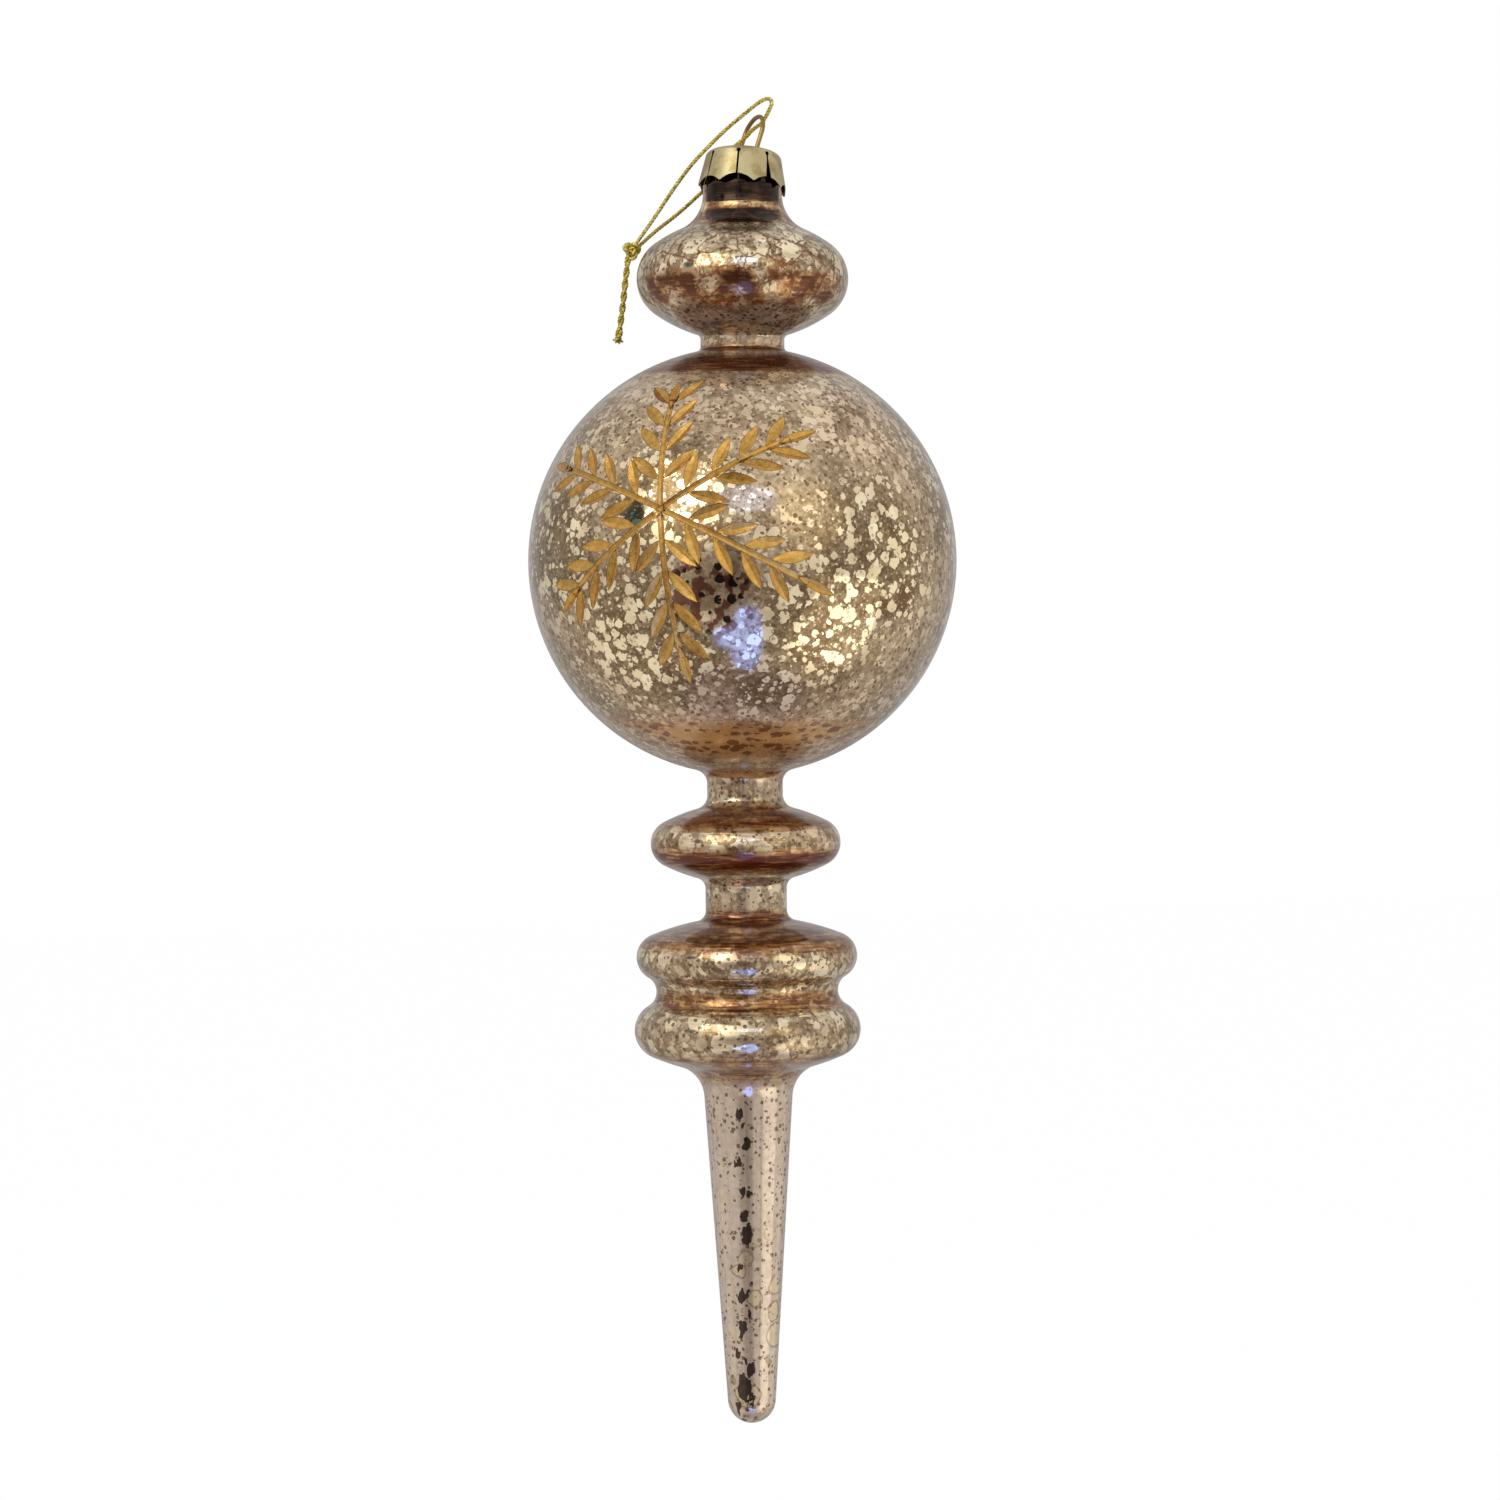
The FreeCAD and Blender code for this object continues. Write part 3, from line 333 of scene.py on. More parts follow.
# %% The thread, its knot and its tails
strand_radius = THREAD_DIAMETER * 0.30
thread_runs = [(wound(thread_points, THREAD_DIAMETER * 0.27, 0.0024, math.tau * strand / 3), strand_radius, False)
               for strand in range(3)]
thread = add_piece("thread_loop_yarn", yarn_mesh("thread_loop", thread_runs), gold_thread,
                   ["thread_loop"])

# the knot is a trefoil drawn tight, of two threads side by side
KNOT_HALF = 0.00165
knot_route = []
for number in range(18):
    turn = math.tau * number / 18
    across = RIGHT * (math.sin(turn) + 2 * math.sin(2 * turn)) + UP * (math.cos(turn) - 2 * math.cos(2 * turn))
    knot_route.append(KNOT_AT + across * KNOT_HALF / 3 + TOWARD * math.sin(3 * turn) * -0.0007)
knot_points = spline_points("knot_route", knot_route, closed=True)
knot_runs = [(wound(knot_points, 0.00040, run_length(knot_points) / 4, start), 0.00048, True)
             for start in (0.0, math.pi)]
knot = add_piece("thread_knot_tied", yarn_mesh("thread_knot", knot_runs), gold_thread,
                 ["thread_knot"])

tail_runs = []
for start in (0.0, math.pi):
    one_tail = wound(tail_points, 0.00036, 0.0056, start, 0.9)
    for strand in range(3):
        lay = math.tau * strand / 3
        tail_runs.append((wound(one_tail, 0.00021, 0.0024, lay, 1.6), 0.00026, False))
tails = add_piece("thread_tails_yarn", yarn_mesh("thread_tails", tail_runs), gold_thread,
                  ["thread_tails"])
print("yarn faces:", [len(piece.data.polygons) for piece in (thread, knot, tails)])

# %% [markdown]
# The ornament hangs, so nothing stands under it. A pale floor lies well below the tip, and the
# studio is white. What the camera and the mirror-like silvering see of the room is kept apart from
# what lights the glass, as a photographer does with cards: a tall dark card stands beside the
# camera, and it gives the drop and the necks their dark upright bars.

# %% The floor
FLOOR_DROP = 0.46
floor_shape = bmesh.new()
bmesh.ops.create_grid(floor_shape, x_segments=1, y_segments=1, size=4.0,
                      matrix=Matrix.Translation((0, 0, -FLOOR_DROP)))
floor_mesh = mesh_from(floor_shape, "studio_floor", 30)
floor = bpy.data.objects.new("studio_floor", floor_mesh)
bpy.context.scene.collection.objects.link(floor)

floor_material = bpy.data.materials.new("pale_floor")
floor_material.use_nodes = True
floor_tree = floor_material.node_tree
floor_tree.nodes.clear()
floor_seen = add(floor_tree, "ShaderNodeLightPath")
floor_white = add(floor_tree, "ShaderNodeEmission", Color=(1, 1, 1, 1), Strength=1.04)
floor_paint = add(floor_tree, "ShaderNodeBsdfDiffuse", Color=(0.82, 0.82, 0.82, 1))
seen_share = calc(floor_tree, "MULTIPLY", floor_seen.outputs["Is Camera Ray"], 0.9)
floor_gone = add(floor_tree, "ShaderNodeBsdfTransparent")
floor_mix = add(floor_tree, "ShaderNodeMixShader")
floor_end = add(floor_tree, "ShaderNodeMixShader")
for target, links in ((floor_mix, (seen_share, floor_paint.outputs[0], floor_white.outputs[0])),
                      (floor_end, (floor_seen.outputs["Is Glossy Ray"], floor_mix.outputs[0],
                                   floor_gone.outputs[0]))):
    for number, link in enumerate(links):
        floor_tree.links.new(link, target.inputs[number])
floor_output = add(floor_tree, "ShaderNodeOutputMaterial")
floor_tree.links.new(floor_end.outputs[0], floor_output.inputs[0])
floor_mesh.materials.append(floor_material)
print("floor at", -FLOOR_DROP)

# %% The room that the silvering mirrors
world = bpy.data.worlds.new("studio")
bpy.context.scene.world = world
world.use_nodes = True
room = world.node_tree
room.nodes.clear()
ways = add(room, "ShaderNodeTexCoord")


def way_to(aside, above):
    """A direction from the ball, in degrees to the camera's right and up."""
    aside, above = math.radians(aside), math.radians(above)
    return (TOWARD * math.cos(aside) + RIGHT * math.sin(aside)) * math.cos(above) + UP * math.sin(above)


def room_part(way, low, high):
    """How far a direction points along a way, as a soft ramp."""
    lean = add(room, "ShaderNodeVectorMath", {"operation": "DOT_PRODUCT"})
    room.links.new(ways.outputs["Generated"], lean.inputs[0])
    lean.inputs[1].default_value = way
    return smooth_step(room, lean.outputs["Value"], low, high)


def room_light(aside, above, whole_within, gone_beyond):
    """A round part of the room around a direction, given in degrees; 1 inside and 0 outside."""
    low, high = (math.cos(math.radians(angle)) for angle in (gone_beyond, whole_within))
    return room_part(way_to(aside, above), low, high)


overhead = room_part(UP, -0.6, 0.9)
mirrored = blend_colours(room, overhead, (0.72, 0.68, 0.64, 1), (1.02, 1.00, 0.96, 1))
clutter = add(room, "ShaderNodeTexNoise", Vector=ways.outputs["Generated"], Scale=3.4, Detail=4.0)
shade = smooth_step(room, clutter.outputs[0], 0.40, 0.66, 0.0, 0.5)
mirrored = blend_colours(room, shade, mirrored, (0.34, 0.30, 0.25, 1))
behind = calc(room, "MULTIPLY", room_part(-TOWARD, 0.25, 0.95), 0.6)
mirrored = blend_colours(room, behind, mirrored, (0.36, 0.35, 0.36, 1))
for aside, above, whole, gone, amount, colour in (
        (56, -38, 8, 28, 0.7, (1.45, 1.39, 1.22, 1)),
        (92, -8, 14, 40, 0.5, (1.15, 1.10, 1.00, 1)),
        (-92, -36, 14, 34, 0.2, (1.30, 1.22, 1.10, 1)),
        (38, 22, 6, 24, 0.8, (1.55, 1.45, 1.15, 1)),
        (-34, 30, 10, 30, 0.85, (1.90, 1.78, 1.40, 1)),
        (-62, 20, 3, 9, 0.95, (0.03, 0.09, 0.12, 1)),
        (-8, -13, 8, 24, 0.80, (0.20, 0.15, 0.12, 1)),
        (-6, -82, 14, 34, 0.75, (0.50, 0.43, 0.52, 1))):
    share = calc(room, "MULTIPLY", room_light(aside, above, whole, gone), amount)
    mirrored = blend_colours(room, share, mirrored, colour)


def room_window(aside, above, wide, tall):
    """An oval window in the room, its place and its size given in degrees."""
    way = way_to(aside, above)
    across = way.cross(UP).normalized()
    squares = []
    for axis, size in ((across, wide), (across.cross(way), tall)):
        lean = add(room, "ShaderNodeVectorMath", {"operation": "DOT_PRODUCT"})
        room.links.new(ways.outputs["Generated"], lean.inputs[0])
        lean.inputs[1].default_value = axis / math.sin(math.radians(size / 2))
        squares.append(calc(room, "POWER", calc(room, "ABSOLUTE", lean.outputs["Value"]), 2.5))
    inside = smooth_step(room, calc(room, "ADD", squares[0], squares[1]), 0.85, 1.15, 1.0, 0.0)
    return calc(room, "MULTIPLY", inside, room_part(way, 0.4, 0.5))


for aside, above, wide, tall, colour in (
        (2, 32, 30, 13, (1.45, 1.60, 2.20, 1)),
        (3, -43, 15, 36, (0.85, 1.20, 3.00, 1)),
        (-8, -42, 15, 12, (0.85, 1.20, 3.00, 1))):
    mirrored = blend_colours(room, room_window(aside, above, wide, tall), mirrored, colour)
card_middle = (TOWARD - RIGHT * 0.10).normalized()
card_side = card_middle.cross(UP).normalized()
card_lean = add(room, "ShaderNodeVectorMath", {"operation": "DOT_PRODUCT"})
room.links.new(ways.outputs["Generated"], card_lean.inputs[0])
card_lean.inputs[1].default_value = card_side
card_width = smooth_step(room, calc(room, "ABSOLUTE", card_lean.outputs["Value"]), 0.05, 0.08, 1.0, 0.0)
card_near = room_part(TOWARD, 0.55, 0.62)
card_level = calc(room, "MULTIPLY", room_part(UP, -0.34, -0.26), room_part(-UP, -0.26, -0.18))
card = calc(room, "MULTIPLY", calc(room, "MULTIPLY", card_width, card_near), card_level)
mirrored = blend_colours(room, calc(room, "MULTIPLY", card, 0.6), mirrored, (0.05, 0.035, 0.03, 1))
rays = add(room, "ShaderNodeLightPath")
soft_light = add(room, "ShaderNodeBackground", Color=(0.93, 0.95, 1.0, 1), Strength=0.75)
mirror_light = add(room, "ShaderNodeBackground", Strength=1.0)
room.links.new(mirrored, mirror_light.inputs["Color"])
white = add(room, "ShaderNodeBackground", Color=(1, 1, 1, 1), Strength=1.0)
glossy_or_not = add(room, "ShaderNodeMixShader")
seen_or_not = add(room, "ShaderNodeMixShader")
for target, links in ((glossy_or_not, (rays.outputs["Is Glossy Ray"], soft_light.outputs[0],
                                       mirror_light.outputs[0])),
                      (seen_or_not, (rays.outputs["Is Camera Ray"], glossy_or_not.outputs[0],
                                     white.outputs[0]))):
    for number, link in enumerate(links):
        room.links.new(link, target.inputs[number])
room_output = add(room, "ShaderNodeOutputWorld")
room.links.new(seen_or_not.outputs[0], room_output.inputs[0])
print("studio ready")

# %% [markdown]
# A big soft lamp high on the left gives the round forms their turn, and a weaker one low on the
# right keeps the far side open. The cool windows are part of the mirrored room.

# %% The lamps
def add_lamp(name, way, distance, width, height, watts, colour):
    lamp_data = bpy.data.lights.new(name, "AREA")
    lamp_data.shape = "RECTANGLE"
    lamp_data.size = width
    lamp_data.size_y = height
    lamp_data.energy = watts
    lamp_data.color = colour
    lamp = bpy.data.objects.new(name, lamp_data)
    lamp.location = BALL_AT + way.normalized() * distance
    lamp.rotation_euler = way.to_track_quat("Z", "Y").to_euler()
    bpy.context.scene.collection.objects.link(lamp)
    return lamp


add_lamp("soft_key", way_to(-38, 34), 1.6, 0.9, 0.9, 4.6, (1.0, 0.97, 0.90))
add_lamp("soft_fill", way_to(60, -28), 1.8, 1.3, 1.3, 3.0, (1.0, 0.95, 0.86))
print("lamps:", [item.name for item in bpy.data.lights])

# %% [markdown]
# Three shader groups are shared by the finishes. Silvering that has been crackled leaves rounded
# bright flecks with crisp edges. A Voronoi pattern gives one fleck to each cell, noise bends its
# outline, and a chance per cell makes some small and leaves some out.

# %% Shader groups
def make_fleck_group():
    """Rounded flecks: 1 inside a fleck and 0 outside."""
    group, inner, outer = new_group(
        "flecks",
        [("Position", "NodeSocketVector"), ("Size", "NodeSocketFloat"), ("Cover", "NodeSocketFloat"),
         ("Ragged", "NodeSocketFloat"), ("Edge", "NodeSocketFloat")],
        [("Mask", "NodeSocketFloat"), ("Chance", "NodeSocketFloat")])
    scale = calc(group, "DIVIDE", 1.0, inner.outputs["Size"])
    noise = add(group, "ShaderNodeTexNoise", Vector=inner.outputs["Position"], Detail=2.0, Roughness=0.6)
    fill(group, noise, "Scale", calc(group, "MULTIPLY", scale, 1.6))
    centred = add(group, "ShaderNodeVectorMath", {"operation": "SUBTRACT"})
    group.links.new(noise.outputs["Color"], centred.inputs[0])
    centred.inputs[1].default_value = (0.5, 0.5, 0.5)
    bent = add(group, "ShaderNodeVectorMath", {"operation": "SCALE"})
    group.links.new(centred.outputs[0], bent.inputs[0])
    fill(group, bent, "Scale", calc(group, "MULTIPLY", inner.outputs["Ragged"], inner.outputs["Size"]))
    moved = add(group, "ShaderNodeVectorMath", {"operation": "ADD"})
    group.links.new(inner.outputs["Position"], moved.inputs[0])
    group.links.new(bent.outputs[0], moved.inputs[1])
    cells = add(group, "ShaderNodeTexVoronoi", Vector=moved.outputs[0], Scale=scale, Randomness=1.0)
    chance = add(group, "ShaderNodeSeparateColor", Color=cells.outputs["Color"])
    spread = calc(group, "MULTIPLY_ADD", chance.outputs[0], 1.1, 0.25)
    limit = calc(group, "MULTIPLY", spread, inner.outputs["Cover"])
    inside = calc(group, "SUBTRACT", limit, cells.outputs["Distance"])
    mask = smooth_step(group, inside, 0.0, inner.outputs["Edge"])
    group.links.new(mask, outer.inputs["Mask"])
    group.links.new(chance.outputs[1], outer.inputs["Chance"])
    return group


def make_cloud_group():
    """Soft blotches between two limits of a noise, for stains, haze and uneven tint."""
    group, inner, outer = new_group(
        "clouds",
        [("Position", "NodeSocketVector"), ("Size", "NodeSocketFloat"), ("Low", "NodeSocketFloat"),
         ("High", "NodeSocketFloat"), ("Detail", "NodeSocketFloat")],
        [("Mask", "NodeSocketFloat")])
    noise = add(group, "ShaderNodeTexNoise", Vector=inner.outputs["Position"], Roughness=0.55)
    fill(group, noise, "Scale", calc(group, "DIVIDE", 1.0, inner.outputs["Size"]))
    fill(group, noise, "Detail", inner.outputs["Detail"])
    mask = smooth_step(group, noise.outputs[0], inner.outputs["Low"], inner.outputs["High"])
    group.links.new(mask, outer.inputs["Mask"])
    return group


def make_crack_group():
    """Thin branching lines, where Voronoi cells of a bent pattern meet."""
    group, inner, outer = new_group(
        "cracks",
        [("Position", "NodeSocketVector"), ("Size", "NodeSocketFloat"), ("Width", "NodeSocketFloat")],
        [("Mask", "NodeSocketFloat")])
    noise = add(group, "ShaderNodeTexNoise", Vector=inner.outputs["Position"], Scale=0.25, Detail=3.0)
    bent = add(group, "ShaderNodeVectorMath", {"operation": "MULTIPLY_ADD"})
    group.links.new(noise.outputs["Color"], bent.inputs[0])
    bent.inputs[1].default_value = (5.0, 5.0, 5.0)
    group.links.new(inner.outputs["Position"], bent.inputs[2])
    cells = add(group, "ShaderNodeTexVoronoi", {"feature": "DISTANCE_TO_EDGE"}, Vector=bent.outputs[0])
    fill(group, cells, "Scale", calc(group, "DIVIDE", 1.0, inner.outputs["Size"]))
    mask = smooth_step(group, cells.outputs["Distance"], 0.0, inner.outputs["Width"], 1.0, 0.0)
    group.links.new(mask, outer.inputs["Mask"])
    return group


FLECKS, CLOUDS, CRACKS = make_fleck_group(), make_cloud_group(), make_crack_group()
print("groups:", [group.name for group in bpy.data.node_groups])


# %% Position in millimetres
def millimetres(tree, middle=(0, 0, 0)):
    """The place on a piece in millimetres from a middle given in metres."""
    place = add(tree, "ShaderNodeTexCoord")
    scaled = add(tree, "ShaderNodeMapping", {"vector_type": "TEXTURE"})
    tree.links.new(place.outputs["Object"], scaled.inputs["Vector"])
    scaled.inputs["Location"].default_value = middle
    scaled.inputs["Scale"].default_value = (MM, MM, MM)
    return scaled.outputs[0]


# %% [markdown]
# The silvering changes down the ornament. Where the glass is drawn in, at the necks and under the
# beads, less silver stays and the brown tinting shows through; there the brown is also painted shade
# of these hollows, and on the neck under the cap a painted shadow: a ramp down the height gives how much.
# On the ball, creamy flecks crowd together in some places and thin out in others.

# %% The silvered glass
# height above the ball's middle in millimetres, and how brown the glass is there, its own tinting
# and painted shade together, near black under the cap as painted shadow
TINT_AND_SHADE_DOWN = [
    (-201.3, 0.14), (-180.0, 0.14), (-170.0, 0.04), (-122.0, 0.06), (-119.2, 0.50), (-114.6, 0.46),
    (-113.0, 0.18), (-104.0, 0.18), (-102.8, 0.66), (-100.6, 0.60), (-98.6, 0.16), (-91.0, 0.16),
    (-88.5, 0.72), (-82.2, 0.92), (-80.8, 0.12), (-73.0, 0.14), (-70.6, 1.05), (-68.0, 0.98),
    (-66.4, 0.22), (-62.0, 0.22), (-60.8, 0.82), (-58.2, 0.70), (-56.4, 0.12), (-51.0, 0.10),
    (-49.0, 0.50), (-44.0, 0.42), (-37.0, 0.24), (-32.0, 0.03), (42.4, 0.03), (43.6, 1.15),
    (48.6, 1.15), (50.2, 0.30)]
TINT_AND_SHADE_ABOVE = [
    (50.2, 0.26), (54.5, 0.14), (58.0, 0.24), (60.5, 0.84), (64.5, 0.92), (66.2, 0.34), (67.6, 0.12),
    (77.2, 0.12), (77.8, 1.3), (81.0, 1.3), (82.0, 0.42), (83.0, 0.46), (83.8, 1.4), (92.5, 1.6)]


# how sheltered the glass is by height, between the beads, where it mirrors little of the room
SHELTERED = [(-201.3, 0.5), (-124.0, 0.5), (-118.0, 0.7), (-114.0, 0.3), (-105.0, 0.5), (-99.0, 0.2), (-88.0, 0.4),
             (-80.0, 1.0), (-71.0, 1.0), (-66.0, 0.3), (-61.0, 0.8), (-50.0, 1.0), (-43.0, 0.9),
             (-34.0, 0.0), (34.0, 0.0), (38.0, 0.9), (43.0, 0.4), (50.0, 1.0), (59.0, 1.0), (62.0, 0.3), (70.0, 0.0)]

# how bold the flecks are by height, and where on the ball's front they crowd: aside, above and
# towards the camera from its middle, whole within one distance and gone beyond the other
BOLD_DOWN = [(-201.3, 0.12), (-120.0, 0.12), (-112.0, 0.45), (-90.0, 0.50), (-56.0, 0.45), (-50.0, 0.1),
             (-40.0, 0.25), (-32.0, 1.0), (22.0, 1.0), (38.0, 0.45), (50.0, 0.3), (92.5, 0.35)]
BOLD_PLACES = [(-16, 13, 45, 9, 21), (18, -14, 45, 7, 23), (-21, -18, 41, 10, 25), (30, 0, 40, 8, 24),
               (-42, 2, 26, 8, 20), (6, -30, 40, 4, 12)]


def height_ramp(tree, height, stops):
    """A ramp over heights in millimetres, read from a list of stops."""
    low, high = stops[0][0], stops[-1][0]
    along = add(tree, "ShaderNodeMapRange")
    for name, value in (("Value", height), ("From Min", low), ("From Max", high)):
        fill(tree, along, name, value)
    ramp = add(tree, "ShaderNodeValToRGB")
    tree.links.new(along.outputs["Result"], ramp.inputs["Fac"])
    marks = ramp.color_ramp.elements
    for number, (place, value) in enumerate(stops):
        share = (place - low) / (high - low)
        if number < 2:
            mark = marks[number]
            mark.position = share
        else:
            mark = marks.new(share)
        mark.color = (value, value, value, 1)
    return ramp.outputs["Color"]


def patch(tree, position, middle, inner_reach, outer_reach):
    """1 near a place on the glass, falling to 0 away from it."""
    away = add(tree, "ShaderNodeVectorMath", {"operation": "DISTANCE"})
    tree.links.new(position, away.inputs[0])
    away.inputs[1].default_value = middle
    return smooth_step(tree, away.outputs["Value"], inner_reach, outer_reach, 1.0, 0.0)


def ball_place(aside, above, toward):
    """A place given from the ball's middle along the camera's right, up and towards it."""
    return RIGHT * aside + UP * above + TOWARD * toward


def make_silvered_glass():
    material, tree, shader = new_material("silvered_glass")
    here = millimetres(tree, BALL_AT)
    split = add(tree, "ShaderNodeSeparateXYZ", Vector=here)
    height = split.outputs["Z"]

    # where the flecks are bold: some places on the ball's front, clouds elsewhere on it, and less
    # on the beads and the drop
    cloud = use_group(tree, CLOUDS, Position=here, Size=24.0, Low=0.44, High=0.62, Detail=2.0)
    in_front = patch(tree, here, ball_place(0, 0, 55), 45, 62)
    bold = calc(tree, "MULTIPLY", cloud.outputs[0], calc(tree, "MULTIPLY_ADD", in_front, -0.8, 0.8))
    for aside, above, toward, whole, gone in BOLD_PLACES:
        near = patch(tree, here, ball_place(aside, above, toward), whole, gone)
        bold = calc(tree, "MAXIMUM", bold, near)
    bold = calc(tree, "MULTIPLY", bold, height_ramp(tree, height, BOLD_DOWN))
    on_drop = smooth_step(tree, height, -118, -124)
    on_bead = calc(tree, "MAXIMUM", smooth_step(tree, height, 52, 56),
                   calc(tree, "SUBTRACT", smooth_step(tree, height, -50, -56), on_drop))
    sheltered = height_ramp(tree, height, SHELTERED)
    bold = calc(tree, "MAXIMUM", bold, calc(tree, "MULTIPLY", on_bead, calc(tree, "MULTIPLY_ADD", sheltered, -0.4, 0.65)))

    # on the ball's upper part the flecks are finer and closer
    fine = smooth_step(tree, height, 14.0, 34.0)
    large_cover = calc(tree, "MULTIPLY_ADD", bold, 0.14, 0.36)
    large = use_group(tree, FLECKS, Position=here, Size=3.1, Cover=large_cover, Ragged=0.6, Edge=0.04)
    small_cover = calc(tree, "MULTIPLY_ADD", fine, 0.12, 0.37)
    small = use_group(tree, FLECKS, Position=here, Size=1.9, Cover=small_cover, Ragged=0.8, Edge=0.06)
    flecks = calc(tree, "MAXIMUM", large.outputs["Mask"], small.outputs["Mask"])
    crackle = use_group(tree, FLECKS, Position=here, Size=4.6, Cover=0.50, Ragged=0.9, Edge=0.03)
    flecks = blend_colours(tree, on_bead, flecks, calc(tree, "MAXIMUM", crackle.outputs["Mask"],
                                                      calc(tree, "MULTIPLY", flecks, 0.5)))
    flecks = calc(tree, "MULTIPLY", flecks, calc(tree, "MULTIPLY_ADD", on_drop, -0.65, 1.0))
    dust = use_group(tree, FLECKS, Position=here, Size=0.8, Cover=0.40, Ragged=0.6, Edge=0.15)

    mottle = use_group(tree, CLOUDS, Position=here, Size=1.3, Low=0.35, High=0.65, Detail=4.0)
    stain = use_group(tree, CLOUDS, Position=here, Size=8.0, Low=0.46, High=0.66, Detail=5.0)
    blush = use_group(tree, CLOUDS, Position=here, Size=30.0, Low=0.38, High=0.62, Detail=2.0)
    pepper = use_group(tree, FLECKS, Position=here, Size=1.2, Cover=0.35, Ragged=0.8, Edge=0.06)

    soft_ground = blend_colours(tree, mottle.outputs[0], srgb(160, 137, 109), srgb(204, 181, 150))
    bold_ground = blend_colours(tree, mottle.outputs[0], srgb(106, 86, 58), srgb(150, 128, 97))
    drop_ground = blend_colours(tree, mottle.outputs[0], srgb(202, 183, 166), srgb(216, 199, 182))
    soft_ground = blend_colours(tree, on_drop, soft_ground, drop_ground)
    ground = blend_colours(tree, bold, soft_ground, bold_ground)
    stained = calc(tree, "MULTIPLY_ADD", patch(tree, here, ball_place(33, -13, 34), 6, 17), 0.45, 0.5)
    stained = calc(tree, "MULTIPLY", stained, calc(tree, "MULTIPLY_ADD", on_drop, -0.8, 1.0))
    ground = blend_colours(tree, calc(tree, "MULTIPLY", stain.outputs[0], stained), ground, srgb(106, 76, 40))
    soft_pale = blend_colours(tree, blush.outputs[0], srgb(224, 206, 176), srgb(220, 194, 168))
    bold_pale = blend_colours(tree, large.outputs["Chance"], srgb(236, 217, 178), srgb(252, 240, 208))
    pale = blend_colours(tree, bold, soft_pale, bold_pale)
    dusty = calc(tree, "MULTIPLY", dust.outputs["Mask"], calc(tree, "MULTIPLY_ADD", on_drop, -0.3, 0.35))
    ground = blend_colours(tree, dusty, ground, pale)
    colour = blend_colours(tree, flecks, ground, pale)
    peppered = calc(tree, "MULTIPLY_ADD", on_bead, 0.2, calc(tree, "MULTIPLY_ADD", bold, -0.40, 0.85))
    specks = calc(tree, "MULTIPLY", pepper.outputs["Mask"], peppered)
    colour = blend_colours(tree, specks, colour, srgb(100, 74, 50))

    # a clear place low on the ball's front, with round dark spots and red-brown stains; these also stand in
    # for a dark reflection of the room there, as painted reflection
    bare_and_dark_reflection = patch(tree, here, ball_place(-7, -8, 48), 7.5, 13.5)
    spots = use_group(tree, FLECKS, Position=here, Size=2.6, Cover=0.42, Ragged=0.4, Edge=0.05)
    rust = use_group(tree, CLOUDS, Position=here, Size=3.2, Low=0.50, High=0.56, Detail=2.0)
    colour = blend_colours(tree, calc(tree, "MULTIPLY", bare_and_dark_reflection, 0.4), colour, srgb(206, 186, 150))
    colour = blend_colours(tree, calc(tree, "MULTIPLY", rust.outputs[0], calc(tree, "MULTIPLY", bare_and_dark_reflection, 0.9)),
                           colour, srgb(104, 50, 34))
    # a band down the front of the drop, facing the camera, for the dark marks below: painted reflection of a dark
    # upright bar
    down_front = add(tree, "ShaderNodeVectorMath", {"operation": "DOT_PRODUCT"})
    tree.links.new(here, down_front.inputs[0])
    down_front.inputs[1].default_value = RIGHT
    dark_reflection_strip = smooth_step(tree, calc(tree, "ABSOLUTE", calc(tree, "SUBTRACT", down_front.outputs["Value"], 0.8)),
                        0.6, 3.6, 1.0, 0.0)
    colour = blend_colours(tree, calc(tree, "MULTIPLY", spots.outputs["Mask"], bare_and_dark_reflection), colour, srgb(34, 24, 20))
    low_drop = smooth_step(tree, height, -146, -168)
    cells = use_group(tree, FLECKS, Position=here, Size=6.5, Cover=0.42, Ragged=0.35, Edge=0.10)
    outline = calc(tree, "MULTIPLY", calc(tree, "COMPARE", cells.outputs["Mask"], 0.45, 0.40), low_drop)
    colour = blend_colours(tree, calc(tree, "MULTIPLY", outline, 0.55), colour, srgb(128, 104, 78))
    filled = calc(tree, "MULTIPLY", calc(tree, "GREATER_THAN", cells.outputs["Mask"], 0.9), low_drop)
    colour = blend_colours(tree, calc(tree, "MULTIPLY", filled, 0.5), colour, srgb(222, 204, 160))
    tall = add(tree, "ShaderNodeMapping", Vector=here)
    tall.inputs["Location"].default_value = (2.0, 0.0, 3.0)
    tall.inputs["Scale"].default_value = (1.0, 1.0, 0.62)
    toward = add(tree, "ShaderNodeVectorMath", {"operation": "DOT_PRODUCT"})
    tree.links.new(here, toward.inputs[0])
    toward.inputs[1].default_value = TOWARD
    on_front = calc(tree, "MULTIPLY", smooth_step(tree, toward.outputs["Value"], 0.0, 4.0),
                    smooth_step(tree, height, -122, -126))
    # the dark marks in that band, stretched upright, are painted reflection of a dark upright bar
    crowding = calc(tree, "MULTIPLY_ADD", low_drop, 0.16, 0.44)
    reflection_marks_cover = calc(tree, "MULTIPLY", calc(tree, "MULTIPLY", dark_reflection_strip, crowding), on_front)
    marks = use_group(tree, FLECKS, Position=tall.outputs[0], Size=2.9, Cover=reflection_marks_cover, Ragged=1.0, Edge=0.04)
    colour = blend_colours(tree, calc(tree, "MULTIPLY", marks.outputs["Mask"], 0.95), colour, srgb(50, 32, 24))
